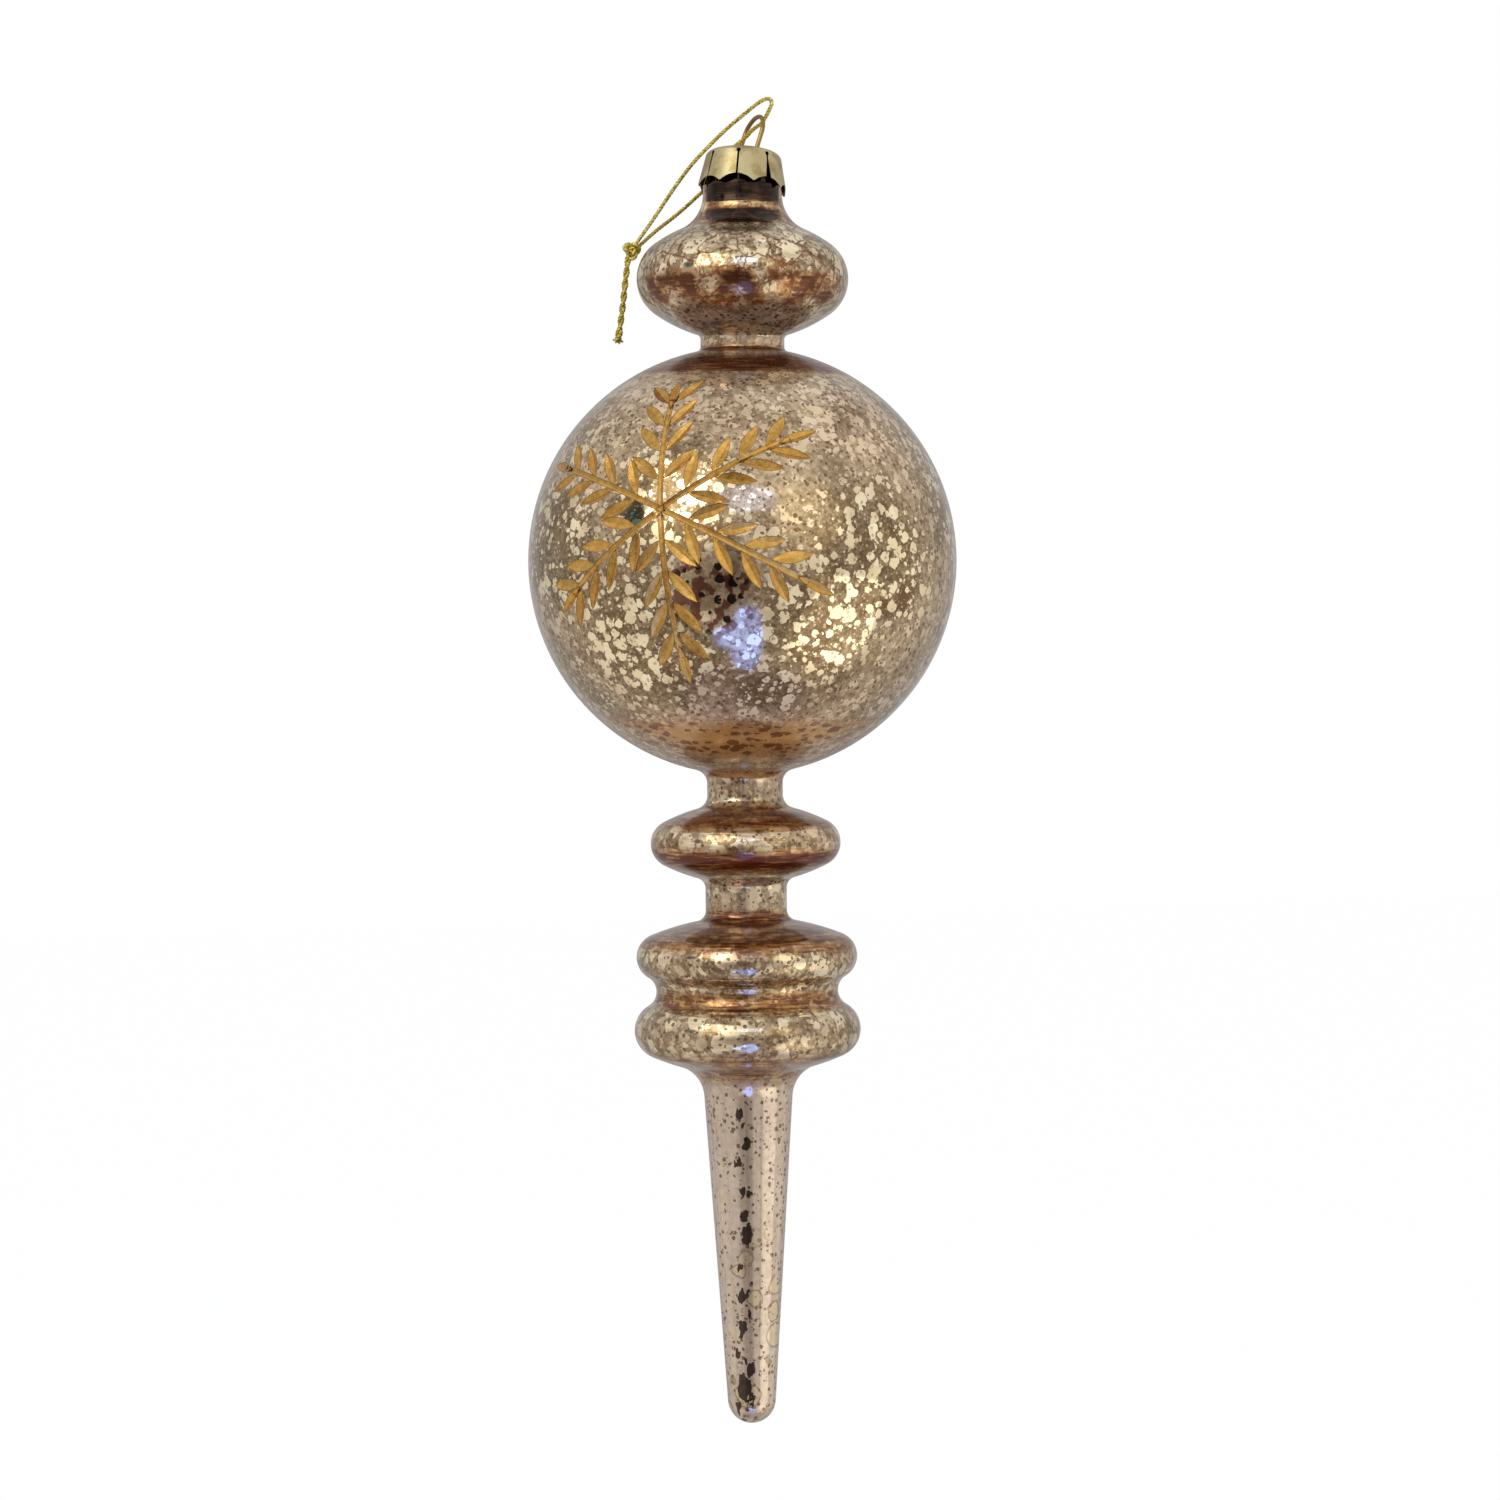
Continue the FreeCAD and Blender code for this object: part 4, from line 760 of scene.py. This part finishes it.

    # brown by height: the glass's own tinting, with painted shade in the drawn-in hollows and necks
    lower = height_ramp(tree, height, TINT_AND_SHADE_DOWN)
    upper = height_ramp(tree, height, TINT_AND_SHADE_ABOVE)
    is_above = calc(tree, "GREATER_THAN", height, TINT_AND_SHADE_ABOVE[0][0])
    tint_and_shade = blend_colours(tree, is_above, lower, upper)
    rough_tint = use_group(tree, CLOUDS, Position=here, Size=3.0, Low=0.25, High=0.75, Detail=4.0)
    drawn_out = add(tree, "ShaderNodeMapping", Vector=here)
    drawn_out.inputs["Scale"].default_value = (0.16, 0.16, 2.2)
    streaks = add(tree, "ShaderNodeTexNoise", Vector=drawn_out.outputs[0], Scale=1.0, Detail=3.0)
    drawn_flat = add(tree, "ShaderNodeMapping", Vector=here)
    drawn_flat.inputs["Scale"].default_value = (0.6, 0.6, 1.3)
    blots = use_group(tree, CLOUDS, Position=here, Size=6.0, Low=0.38, High=0.60, Detail=3.0)
    on_top = smooth_step(tree, height, 52, 56)
    on_upper_bead = calc(tree, "MULTIPLY", on_top, smooth_step(tree, height, 77, 75))
    blotchy = calc(tree, "MULTIPLY_ADD", on_upper_bead, calc(tree, "SUBTRACT", blots.outputs[0], 0.7), 1.0)
    uneven = calc(tree, "MULTIPLY_ADD", rough_tint.outputs[0], -0.35, 0.72)
    tint_and_shade = calc(tree, "MULTIPLY", tint_and_shade, calc(tree, "MULTIPLY_ADD", streaks.outputs[0], 0.9, uneven))
    tint_and_shade = calc(tree, "MULTIPLY", tint_and_shade, blotchy)
    at_foot = calc(tree, "SUBTRACT", smooth_step(tree, height, -35, -40), smooth_step(tree, height, -49, -51))
    grazing = add(tree, "ShaderNodeLayerWeight", Blend=0.5)
    fades_from = calc(tree, "MULTIPLY_ADD", on_top, -0.30, calc(tree, "MULTIPLY_ADD", at_foot, -0.29, 0.80))
    aside = smooth_step(tree, grazing.outputs["Facing"], fades_from, calc(tree, "ADD", fades_from, 0.16))
    tint_and_shade = calc(tree, "MULTIPLY", tint_and_shade, calc(tree, "MULTIPLY_ADD", aside, -0.7, 1.0))
    amber_and_shade = smooth_step(tree, tint_and_shade, 0.12, 0.60)
    deep_tint_and_shade = smooth_step(tree, tint_and_shade, 0.55, 1.0)
    brown = blend_colours(tree, smooth_step(tree, rough_tint.outputs[0], 0.3, 0.8), srgb(164, 112, 48),
                          srgb(128, 68, 28))
    colour = blend_colours(tree, calc(tree, "MULTIPLY", amber_and_shade, 0.78), colour, brown)
    # where the brown is heaviest it goes near black on the neck under the cap: painted shadow of the cap's skirt
    darkest_and_cap_shadow = blend_colours(tree, on_top, srgb(100, 38, 14), srgb(92, 50, 22))
    darkest_and_cap_shadow = blend_colours(tree, smooth_step(tree, height, 70, 76), darkest_and_cap_shadow, srgb(26, 12, 7))
    colour = blend_colours(tree, deep_tint_and_shade, colour, darkest_and_cap_shadow)
    lined = calc(tree, "MULTIPLY", amber_and_shade, calc(tree, "MULTIPLY_ADD", on_top, -0.85, 1.0))
    dark_line = calc(tree, "MULTIPLY", smooth_step(tree, streaks.outputs[0], 0.54, 0.62), lined)
    colour = blend_colours(tree, calc(tree, "MULTIPLY", dark_line, 0.6), colour, srgb(66, 22, 10))
    pale_line = calc(tree, "MULTIPLY", smooth_step(tree, streaks.outputs[0], 0.46, 0.38), lined)
    colour = blend_colours(tree, calc(tree, "MULTIPLY", pale_line, 0.4), colour, srgb(198, 158, 96))
    left_silver = calc(tree, "MULTIPLY", small.outputs["Mask"], calc(tree, "SUBTRACT", amber_and_shade, deep_tint_and_shade))
    colour = blend_colours(tree, calc(tree, "MULTIPLY", left_silver, 0.5), colour, srgb(206, 176, 132))
    foot_amber = calc(tree, "MULTIPLY", at_foot, calc(tree, "MULTIPLY_ADD", aside, -0.8, 1.0))
    colour = blend_colours(tree, calc(tree, "MULTIPLY", foot_amber, 0.7), colour, srgb(210, 158, 94))
    burnt = use_group(tree, FLECKS, Position=drawn_flat.outputs[0], Size=1.7, Cover=0.46, Ragged=0.9, Edge=0.05)
    burnt_where = calc(tree, "MAXIMUM", amber_and_shade, calc(tree, "MULTIPLY_ADD", at_foot, 0.35, foot_amber))
    burnt_where = calc(tree, "SUBTRACT", burnt_where, calc(tree, "MULTIPLY", deep_tint_and_shade, 0.8), clamp=True)
    burnt_share = calc(tree, "MULTIPLY", burnt.outputs["Mask"], burnt_where)
    colour = blend_colours(tree, calc(tree, "MULTIPLY", burnt_share, 0.8), colour, srgb(104, 52, 20))
    crack = use_group(tree, CRACKS, Position=here, Size=8.0, Width=0.045)
    cracked = calc(tree, "MULTIPLY", smooth_step(tree, height, 54, 60), smooth_step(tree, height, 78, 86, 1, 0))
    crack_share = calc(tree, "MULTIPLY", crack.outputs[0], calc(tree, "MULTIPLY", cracked, 0.9))
    colour = blend_colours(tree, crack_share, colour, srgb(104, 52, 26))
    # painted shade: near the outline, where the glass is seen at a slant, its colour is laid towards a darker grey
    rim = smooth_step(tree, grazing.outputs["Facing"], 0.78, 0.98)
    colour = blend_colours(tree, calc(tree, "MULTIPLY", rim, 0.7), colour, srgb(112, 102, 94))

    silver = calc(tree, "MULTIPLY", flecks, calc(tree, "SUBTRACT", 1.0, calc(tree, "MULTIPLY", amber_and_shade, 0.5)))
    fill(tree, shader, "Base Color", colour)
    mirroring = calc(tree, "MULTIPLY_ADD", sheltered, -0.38, 0.88)
    fill(tree, shader, "Metallic", calc(tree, "MULTIPLY_ADD", silver, 0.10, mirroring))
    by_ring = calc(tree, "SUBTRACT", smooth_step(tree, height, 34, 42), smooth_step(tree, height, 49, 52))
    under_neck = calc(tree, "SUBTRACT", smooth_step(tree, height, 72, 75), smooth_step(tree, height, 79, 82))
    clouded = calc(tree, "ADD", by_ring, calc(tree, "ADD", under_neck, at_foot))
    clouded = calc(tree, "MAXIMUM", clouded, calc(tree, "MULTIPLY", amber_and_shade, 0.3))
    fill(tree, shader, "Roughness", calc(tree, "ADD", calc(tree, "MULTIPLY_ADD", silver, -0.05, 0.11),
                                         calc(tree, "MULTIPLY", clouded, 0.17)))
    shader.inputs["Coat Weight"].default_value = 0.3
    shader.inputs["Coat Roughness"].default_value = 0.03
    shader.inputs["Coat IOR"].default_value = 1.5
    waves = add(tree, "ShaderNodeTexNoise", Vector=here, Scale=0.12, Detail=2.0)
    relief = calc(tree, "MULTIPLY_ADD", flecks, 0.04, waves.outputs[0])
    bump = add(tree, "ShaderNodeBump", Strength=0.12, Distance=0.0006, Height=relief)
    tree.links.new(bump.outputs[0], shader.inputs["Normal"])
    return material


silvered_glass = make_silvered_glass()
print("made", silvered_glass.name)

# %% [markdown]
# The gilding is matte gold paint laid in the cuts. It is thinner on the crease, and a little darker
# where it pools. A dark line along the top edges of the cuts is painted shade.

# %% The gilding
def make_gilding():
    material, tree, shader = new_material("gilding")
    here = millimetres(tree, BALL_AT)
    wear = use_group(tree, CLOUDS, Position=here, Size=1.2, Low=0.3, High=0.7, Detail=4.0)
    pool = use_group(tree, CLOUDS, Position=here, Size=7.0, Low=0.35, High=0.65, Detail=2.0)
    gold = blend_colours(tree, wear.outputs[0], srgb(184, 142, 70), srgb(220, 176, 102))
    gold = blend_colours(tree, calc(tree, "MULTIPLY", pool.outputs[0], 0.35), gold, srgb(164, 116, 46))
    from_middle = add(tree, "ShaderNodeVectorMath", {"operation": "LENGTH"})
    tree.links.new(here, from_middle.inputs[0])
    # painted shade: a dark line along the top edges of the cuts
    edge = smooth_step(tree, from_middle.outputs["Value"], BALL_RADIUS - 0.14, BALL_RADIUS - 0.02)
    gold = blend_colours(tree, calc(tree, "MULTIPLY", edge, 0.6), gold, srgb(84, 54, 18))
    fill(tree, shader, "Base Color", gold)
    shader.inputs["Metallic"].default_value = 1.0
    fill(tree, shader, "Roughness", calc(tree, "MULTIPLY_ADD", wear.outputs[0], 0.08, 0.22))
    grain = add(tree, "ShaderNodeTexNoise", Vector=here, Scale=4.0, Detail=3.0)
    bump = add(tree, "ShaderNodeBump", Strength=0.25, Distance=0.0002, Height=grain.outputs[0])
    tree.links.new(bump.outputs[0], shader.inputs["Normal"])
    return material


gilding = make_gilding()
print("made", gilding.name)

# %% [markdown]
# The glass is drawn as a glassworker's profile. A point is spun about the middle of each round
# stretch and drawn out along each straight one, and the whole profile is then spun about the
# ornament's axis. The same few radii and heights drive it as in the solids.

# %% The profile's measures
WALL = 1.5
BALL = BALL_RADIUS
MOUTH, MOUTH_HEIGHT, THROAT, THROAT_HEIGHT, FLARE = 7.6, 92.1, 9.25, 87.6, 9.0
UPPER_BEAD = {"radius": 24.73, "rim": 9.95, "flank": 35.7, "height": 65.87}
LOWER_BEAD = {"radius": 22.18, "rim": 5.66, "flank": 41.9, "height": -65.86}
FIRST_LOBE = {"radius": 25.77, "rim": 5.4, "flank": 60.0, "height": -92.3}
SECOND_LOBE = {"radius": 26.4, "rim": 6.5, "flank": 56.3, "height": -109.4}
UPPER_NECK, UPPER_NECK_FILLET = 9.8, 1.2
BALL_NECK, BALL_NECK_FILLET = 8.85, 3.2
LOBE_NECK, LOBE_NECK_FILLET = 9.5, 2.6
LOBE_WAIST_FILLET, STEM_FILLET = 4.0, 8.0
STEM_TAPER, TIP, TIP_DROP = math.radians(3.8), 5.6, 201.3
LEAN = math.radians(0.65)
Flat = lambda across, up: Vector((across, up))


def flank_centre(bead, side):
    """The middle of a bead's flank, on the axis: side is 1 for the upper flank and -1 for the lower."""
    rim_middle = bead["radius"] - bead["rim"]
    return Flat(0, bead["height"] - side * math.sqrt((bead["flank"] - bead["rim"]) ** 2 - rim_middle**2))


def fillet_centre(middle, radius, foot, way, outward, fillet):
    """The middle of a fillet between a circle's outside and a straight line through foot."""
    start = foot + outward * fillet - middle
    along = start.dot(way)
    return middle + start + way * (-along + math.sqrt(along**2 - start.dot(start) + (radius + fillet) ** 2))


def touch(middle, other, radius):
    return middle + (other - middle).normalized() * radius


# %% Draw with a point
class Profile:
    """A chain of edges, drawn by extruding and spinning its last point. It lies in the XZ plane."""

    def __init__(self, start, degrees_per_step):
        self.shape = bmesh.new()
        self.last = self.shape.verts.new((start.x, 0, start.y))
        self.step = math.radians(degrees_per_step)

    def line(self, end):
        made = bmesh.ops.extrude_vert_indiv(self.shape, verts=[self.last])
        self.last = made["verts"][0]
        self.last.co = (end.x, 0, end.y)

    def arc(self, middle, end):
        here = Flat(self.last.co.x, self.last.co.z) - middle
        there = end - middle
        angle = math.atan2(here.cross(there), here.dot(there))
        steps = max(4, math.ceil(abs(angle) / self.step))
        made = bmesh.ops.spin(self.shape, geom=[self.last], cent=(middle.x, 0, middle.y),
                              axis=(0, -1, 0), angle=angle, steps=steps, use_duplicate=False)
        self.last = made["geom_last"][0]


def draw_profile(wall, degrees_per_step):
    """The glass from its mouth to its tip; with a wall, the hollow inside it."""
    inside = wall > 0
    flare, neck_fillet = FLARE + wall, UPPER_NECK_FILLET + wall
    throat = Flat(THROAT - wall, THROAT_HEIGHT)
    neck = Flat(UPPER_NECK - wall, 0)
    middle, down, up, out = Flat(0, 0), Flat(0, -1), Flat(0, 1), Flat(1, 0)

    profile = Profile(Flat(MOUTH - wall, MOUTH_HEIGHT), degrees_per_step)
    profile.line(throat)
    above, below = flank_centre(UPPER_BEAD, 1), flank_centre(UPPER_BEAD, -1)
    flank = UPPER_BEAD["flank"] - wall
    flare_at = fillet_centre(above, flank, throat, up, out, flare)
    profile.line(Flat(throat.x, flare_at.y))
    profile.arc(flare_at, touch(flare_at, above, flare))
    rim_at = Flat(UPPER_BEAD["radius"] - UPPER_BEAD["rim"], UPPER_BEAD["height"])
    rim = UPPER_BEAD["rim"] - wall
    profile.arc(above, touch(rim_at, above, -rim))
    profile.arc(rim_at, touch(rim_at, below, -rim))
    under = fillet_centre(below, flank, neck, down, out, neck_fillet)
    profile.arc(below, touch(under, below, neck_fillet))
    profile.arc(under, Flat(neck.x, under.y))
    over_ball = fillet_centre(middle, BALL - wall, neck, up, out, neck_fillet)
    profile.line(Flat(neck.x, over_ball.y))
    profile.arc(over_ball, touch(over_ball, middle, neck_fillet))

    ball_neck = Flat(BALL_NECK - wall, 0)
    if inside:
        neck_top = Flat(ball_neck.x, -math.sqrt((BALL - wall) ** 2 - ball_neck.x**2))
        profile.arc(middle, neck_top)
    else:
        over_neck = fillet_centre(middle, BALL, ball_neck, down, out, BALL_NECK_FILLET)
        profile.arc(middle, touch(over_neck, middle, BALL_NECK_FILLET))
        profile.arc(over_neck, Flat(ball_neck.x, over_neck.y))
    above, below = flank_centre(LOWER_BEAD, 1), flank_centre(LOWER_BEAD, -1)
    flank, rim = LOWER_BEAD["flank"] - wall, LOWER_BEAD["rim"] - wall
    rim_at = Flat(LOWER_BEAD["radius"] - LOWER_BEAD["rim"], LOWER_BEAD["height"])
    fillet = BALL_NECK_FILLET + wall
    over = fillet_centre(above, flank, ball_neck, up, out, fillet)
    profile.line(Flat(ball_neck.x, over.y))
    profile.arc(over, touch(over, above, fillet))
    profile.arc(above, touch(rim_at, above, -rim))
    profile.arc(rim_at, touch(rim_at, below, -rim))
    lobe_neck, fillet = Flat(LOBE_NECK - wall, 0), LOBE_NECK_FILLET + wall
    under = fillet_centre(below, flank, lobe_neck, down, out, fillet)
    profile.arc(below, touch(under, below, fillet))
    profile.arc(under, Flat(lobe_neck.x, under.y))

    first_above, second_below = flank_centre(FIRST_LOBE, 1), flank_centre(SECOND_LOBE, -1)
    first = Flat(FIRST_LOBE["radius"] - FIRST_LOBE["rim"], FIRST_LOBE["height"])
    second = Flat(SECOND_LOBE["radius"] - SECOND_LOBE["rim"], SECOND_LOBE["height"])
    first_rim, second_rim = FIRST_LOBE["rim"] - wall, SECOND_LOBE["rim"] - wall
    over = fillet_centre(first_above, FIRST_LOBE["flank"] - wall, lobe_neck, up, out, fillet)
    profile.line(Flat(lobe_neck.x, over.y))
    profile.arc(over, touch(over, first_above, fillet))
    profile.arc(first_above, touch(first, first_above, -first_rim))
    waist = LOBE_WAIST_FILLET + wall
    apart, near, far = (second - first).length, first_rim + waist, second_rim + waist
    along = (near**2 - far**2 + apart**2) / (2 * apart)
    way = (second - first).normalized()
    waist_at = first + way * along + Flat(-way.y, way.x) * math.sqrt(near**2 - along**2)
    profile.arc(first, touch(first, waist_at, first_rim))
    profile.arc(waist_at, touch(second, waist_at, second_rim))
    profile.arc(second, touch(second, second_below, -second_rim))

    stem_way = Flat(math.sin(STEM_TAPER), math.cos(STEM_TAPER))
    stem_out = Flat(math.cos(STEM_TAPER), -math.sin(STEM_TAPER))
    tip_at = Flat(0, TIP - TIP_DROP)
    tip = TIP - wall
    stem_foot = tip_at + stem_out * tip
    flank, fillet = SECOND_LOBE["flank"] - wall, STEM_FILLET + wall
    head = fillet_centre(second_below, flank, stem_foot, -stem_way, stem_out, fillet)
    profile.arc(second_below, touch(head, second_below, fillet))
    profile.arc(head, head - stem_out * fillet)
    profile.line(stem_foot)
    profile.arc(tip_at, tip_at - Flat(0, tip))
    return profile.shape


# %% Spin the glass
SEGMENTS = 176
LEAN_FROM, LEAN_WHOLE = -30.0, -46.0


def spin_skin(wall, degrees_per_step):
    """The profile spun all the way round, its tip closed to one point."""
    shape = draw_profile(wall, degrees_per_step)
    bmesh.ops.spin(shape, geom=shape.verts[:] + shape.edges[:], cent=(0, 0, 0), axis=(0, 0, 1),
                   angle=math.tau, steps=SEGMENTS, use_merge=True, use_duplicate=False)
    bmesh.ops.remove_doubles(shape, verts=shape.verts, dist=1e-4)
    mesh = bpy.data.meshes.new("skin")
    shape.to_mesh(mesh)
    shape.free()
    return mesh


def lean_over(point):
    """The lower half leans about the ball's middle, so it slides along the ball and off below it."""
    share = min(1.0, max(0.0, (LEAN_FROM - point.z) / (LEAN_FROM - LEAN_WHOLE)))
    return Quaternion(TOWARD, LEAN * share) @ point


glass_shape = bmesh.new()
for skin in (spin_skin(0.0, 2.5), spin_skin(WALL, 7.0)):
    glass_shape.from_mesh(skin)
    bpy.data.meshes.remove(skin)
mouth_edges = [edge for edge in glass_shape.edges if edge.is_boundary]
bmesh.ops.bridge_loops(glass_shape, edges=mouth_edges)
bmesh.ops.recalc_face_normals(glass_shape, faces=glass_shape.faces)
for vert in glass_shape.verts:
    vert.co = lean_over(vert.co)
bmesh.ops.scale(glass_shape, vec=(MM, MM, MM), verts=glass_shape.verts)
bmesh.ops.translate(glass_shape, vec=BALL_AT, verts=glass_shape.verts)
print("glass faces:", len(glass_shape.faces), "open edges:", sum(edge.is_boundary for edge in glass_shape.edges))
glass_mesh = mesh_from(glass_shape, "glass_body", 15)
glass_body = add_piece("glass_body_silvered", glass_mesh, silvered_glass, ["glass_body"])
glass_mesh.materials.append(gilding)

# %% [markdown]
# The snowflake is cut as a glass cutter does it, with a stone wheel whose edge is ground to a V. A
# dip of the wheel leaves a lens-shaped leaf with a crease, and a run of the wheel leaves a stem.
# Each cut is a triangle spun about the wheel's own axle, and a Boolean takes them all out at once.

# %% Wheel cuts
SLOPE = math.tan(math.radians(24))
CLEAR = 0.2
LEAF_LENGTH, LEAF_WIDTH, LEAF_PITCH, LEAF_FOOT = 10.0, 3.0, 7.0, 0.5
LEAF_ANGLE, INNER_LEAF_ANGLE = math.radians(38), math.radians(46)
STEM_WIDTH, STEM_SHORT, TIP_LEAF_LENGTH, TIP_LEAF_WIDTH = 1.5, 7.0, 10.0, 2.5
ARM_REACHES = [41.0, 36.5, 42.0, 38.5, 41.5, 45.0]
FLAKE_TURN, FLAKE_RISE, FLAKE_ROLL = math.radians(-48.6), math.radians(12.4), 36.3
FLAKE_RIGHT = Vector((math.cos(FLAKE_TURN), math.sin(FLAKE_TURN), 0))
FLAKE_LEVEL = Vector((math.sin(FLAKE_TURN), -math.cos(FLAKE_TURN), 0))
FLAKE_OUT = FLAKE_LEVEL * math.cos(FLAKE_RISE) + UP * math.sin(FLAKE_RISE)
FLAKE_UP = UP * math.cos(FLAKE_RISE) - FLAKE_LEVEL * math.sin(FLAKE_RISE)
cuts = bmesh.new()


def on_ball(along, aside, bearing):
    """The way from the ball's middle to a place given along an arm and aside from it."""
    swing = math.radians(bearing) + math.atan2(aside, along)
    angle = math.hypot(along, aside) / BALL
    way = FLAKE_RIGHT * math.cos(swing) + FLAKE_UP * math.sin(swing)
    return FLAKE_OUT * math.cos(angle) + way * math.sin(angle)


def sweep_edge(out, side, depth, hub, half_angle, steps):
    """The wheel's V edge, spun about its axle through the glass, with both ends closed."""
    height = depth + CLEAR
    base, half = out * (BALL - depth + height), side * (height / SLOPE)
    corners = [cuts.verts.new(place) for place in (out * (BALL - depth), base + half, base - half)]
    section = cuts.faces.new(corners)
    bmesh.ops.rotate(cuts, cent=hub, matrix=Matrix.Rotation(-half_angle, 3, side), verts=corners)
    far_end = bmesh.ops.duplicate(cuts, geom=[section])
    made = bmesh.ops.spin(cuts, geom=list(section.edges), cent=hub, axis=side,
                          angle=2 * half_angle, steps=steps, use_duplicate=False)
    far_verts = [item for item in far_end["geom"] if isinstance(item, bmesh.types.BMVert)]
    bmesh.ops.rotate(cuts, cent=hub, matrix=Matrix.Rotation(2 * half_angle, 3, side), verts=far_verts)
    return made


def dip(foot, tip, length, width):
    out = (foot + tip).normalized()
    side = out.cross(tip - foot).normalized()
    depth = width / 2 * SLOPE
    wheel = 1 / (2 * depth / (length / 2) ** 2 - 1 / BALL)
    sweep_edge(out, side, depth, out * (BALL + wheel - depth), math.asin(length / 2 / wheel) + 0.021, 14)


for number, reach in enumerate(ARM_REACHES):
    bearing = FLAKE_ROLL + 60 * number
    for pair in range(1, 5):
        splay = INNER_LEAF_ANGLE if pair == 1 else LEAF_ANGLE
        along, end = pair * LEAF_PITCH, LEAF_LENGTH * math.cos(splay)
        for hand in (1, -1):
            foot = on_ball(along, hand * LEAF_FOOT, bearing)
            tip = on_ball(along + end, hand * (LEAF_FOOT + LEAF_LENGTH * math.sin(splay)), bearing)
            dip(foot, tip, LEAF_LENGTH, LEAF_WIDTH)
    dip(on_ball(reach - TIP_LEAF_LENGTH, 0, bearing), on_ball(reach, 0, bearing),
        TIP_LEAF_LENGTH, TIP_LEAF_WIDTH)
for number in range(3):
    bearing = FLAKE_ROLL + 60 * number
    ahead, back = ARM_REACHES[number] - STEM_SHORT, ARM_REACHES[number + 3] - STEM_SHORT
    side = FLAKE_OUT.cross(on_ball(ahead, 0, bearing)).normalized()
    middle_way = on_ball((ahead - back) / 2, 0, bearing) if ahead != back else FLAKE_OUT
    sweep_edge(middle_way, side, STEM_WIDTH / 2 * SLOPE, Vector(), (ahead + back) / 2 / BALL, 60)

bmesh.ops.remove_doubles(cuts, verts=cuts.verts, dist=1e-5)
bmesh.ops.recalc_face_normals(cuts, faces=cuts.faces)
bmesh.ops.scale(cuts, vec=(MM, MM, MM), verts=cuts.verts)
bmesh.ops.translate(cuts, vec=BALL_AT, verts=cuts.verts)
print("cut faces:", len(cuts.faces), "open edges:", sum(not edge.is_manifold for edge in cuts.edges))

# %% Take the cuts out of the ball
cuts_mesh = bpy.data.meshes.new("wheel_cuts")
cuts.to_mesh(cuts_mesh)
cuts.free()
wheel_cuts = bpy.data.objects.new("wheel_cuts", cuts_mesh)
bpy.context.scene.collection.objects.link(wheel_cuts)
cutting = glass_body.modifiers.new("cutting", "BOOLEAN")
cutting.operation = "DIFFERENCE"
cutting.solver = "EXACT"
cutting.use_self = True
cutting.object = wheel_cuts
bpy.context.view_layer.update()
engraved = bpy.data.meshes.new_from_object(glass_body.evaluated_get(bpy.context.evaluated_depsgraph_get()))
glass_body.modifiers.remove(cutting)
bpy.data.objects.remove(wheel_cuts)
engraved.materials.clear()
engraved.materials.append(silvered_glass)
engraved.materials.append(gilding)
gilded = 0
for face in engraved.polygons:
    from_middle = (face.center - BALL_AT) / MM
    face.use_smooth = True
    face.material_index = 0
    if BALL - 0.8 < from_middle.length < BALL + 0.05 and from_middle.normalized().dot(FLAKE_OUT) > 0.5:
        if face.normal.dot(from_middle.normalized()) < math.cos(math.radians(8)):
            face.material_index = 1
            gilded += 1
engraved.set_sharp_from_angle(angle=math.radians(14))
glass_body.data = engraved
engraved.name = "glass_body"
print("engraved faces:", len(engraved.polygons), "gilded:", gilded)

# %% [markdown]
# The cap is pressed from thin brass and lacquered, and slits let its skirt spring onto the neck. It
# carries faint stains and fine scratches round and across it. The wire is plain drawn brass. Both
# keep the solids' shape, as copies whose loose triangles are merged so that they shade smoothly.

# %% The cap and the wire
def make_pressed_brass():
    material, tree, shader = new_material("pressed_brass")
    here = millimetres(tree, BALL_AT)
    stain = use_group(tree, CLOUDS, Position=here, Size=3.5, Low=0.42, High=0.66, Detail=4.0)
    spots = use_group(tree, FLECKS, Position=here, Size=1.3, Cover=0.2, Ragged=0.7, Edge=0.2)
    colour = blend_colours(tree, stain.outputs[0], srgb(190, 178, 138), srgb(160, 143, 100))
    colour = blend_colours(tree, calc(tree, "MULTIPLY", spots.outputs["Mask"], 0.5), colour, srgb(140, 98, 56))
    stretched = add(tree, "ShaderNodeMapping", Vector=here)
    stretched.inputs["Scale"].default_value = (0.6, 0.6, 9.0)
    scratch = add(tree, "ShaderNodeTexNoise", Vector=stretched.outputs[0], Scale=1.6, Detail=3.0)
    fill(tree, shader, "Base Color", colour)
    shader.inputs["Metallic"].default_value = 1.0
    fill(tree, shader, "Roughness", calc(tree, "MULTIPLY_ADD", scratch.outputs[0], 0.16, 0.27))
    bump = add(tree, "ShaderNodeBump", Strength=0.10, Distance=0.0002, Height=scratch.outputs[0])
    tree.links.new(bump.outputs[0], shader.inputs["Normal"])
    return material


def make_drawn_brass():
    material, tree, shader = new_material("drawn_brass")
    here = millimetres(tree)
    stain = use_group(tree, CLOUDS, Position=here, Size=2.0, Low=0.4, High=0.7, Detail=3.0)
    fill(tree, shader, "Base Color",
         blend_colours(tree, stain.outputs[0], srgb(150, 124, 76), srgb(96, 70, 36)))
    shader.inputs["Metallic"].default_value = 1.0
    shader.inputs["Roughness"].default_value = 0.27
    return material


cap = add_piece("cap_pressed", smooth_copy("cap", "cap", 32), make_pressed_brass(), ["cap"])
wire = add_piece("hanger_wire_drawn", smooth_copy("hanger_wire", "hanger_wire", 40), make_drawn_brass(),
                 ["hanger_wire"])
print("cap and wire faces:", len(cap.data.polygons), len(wire.data.polygons))
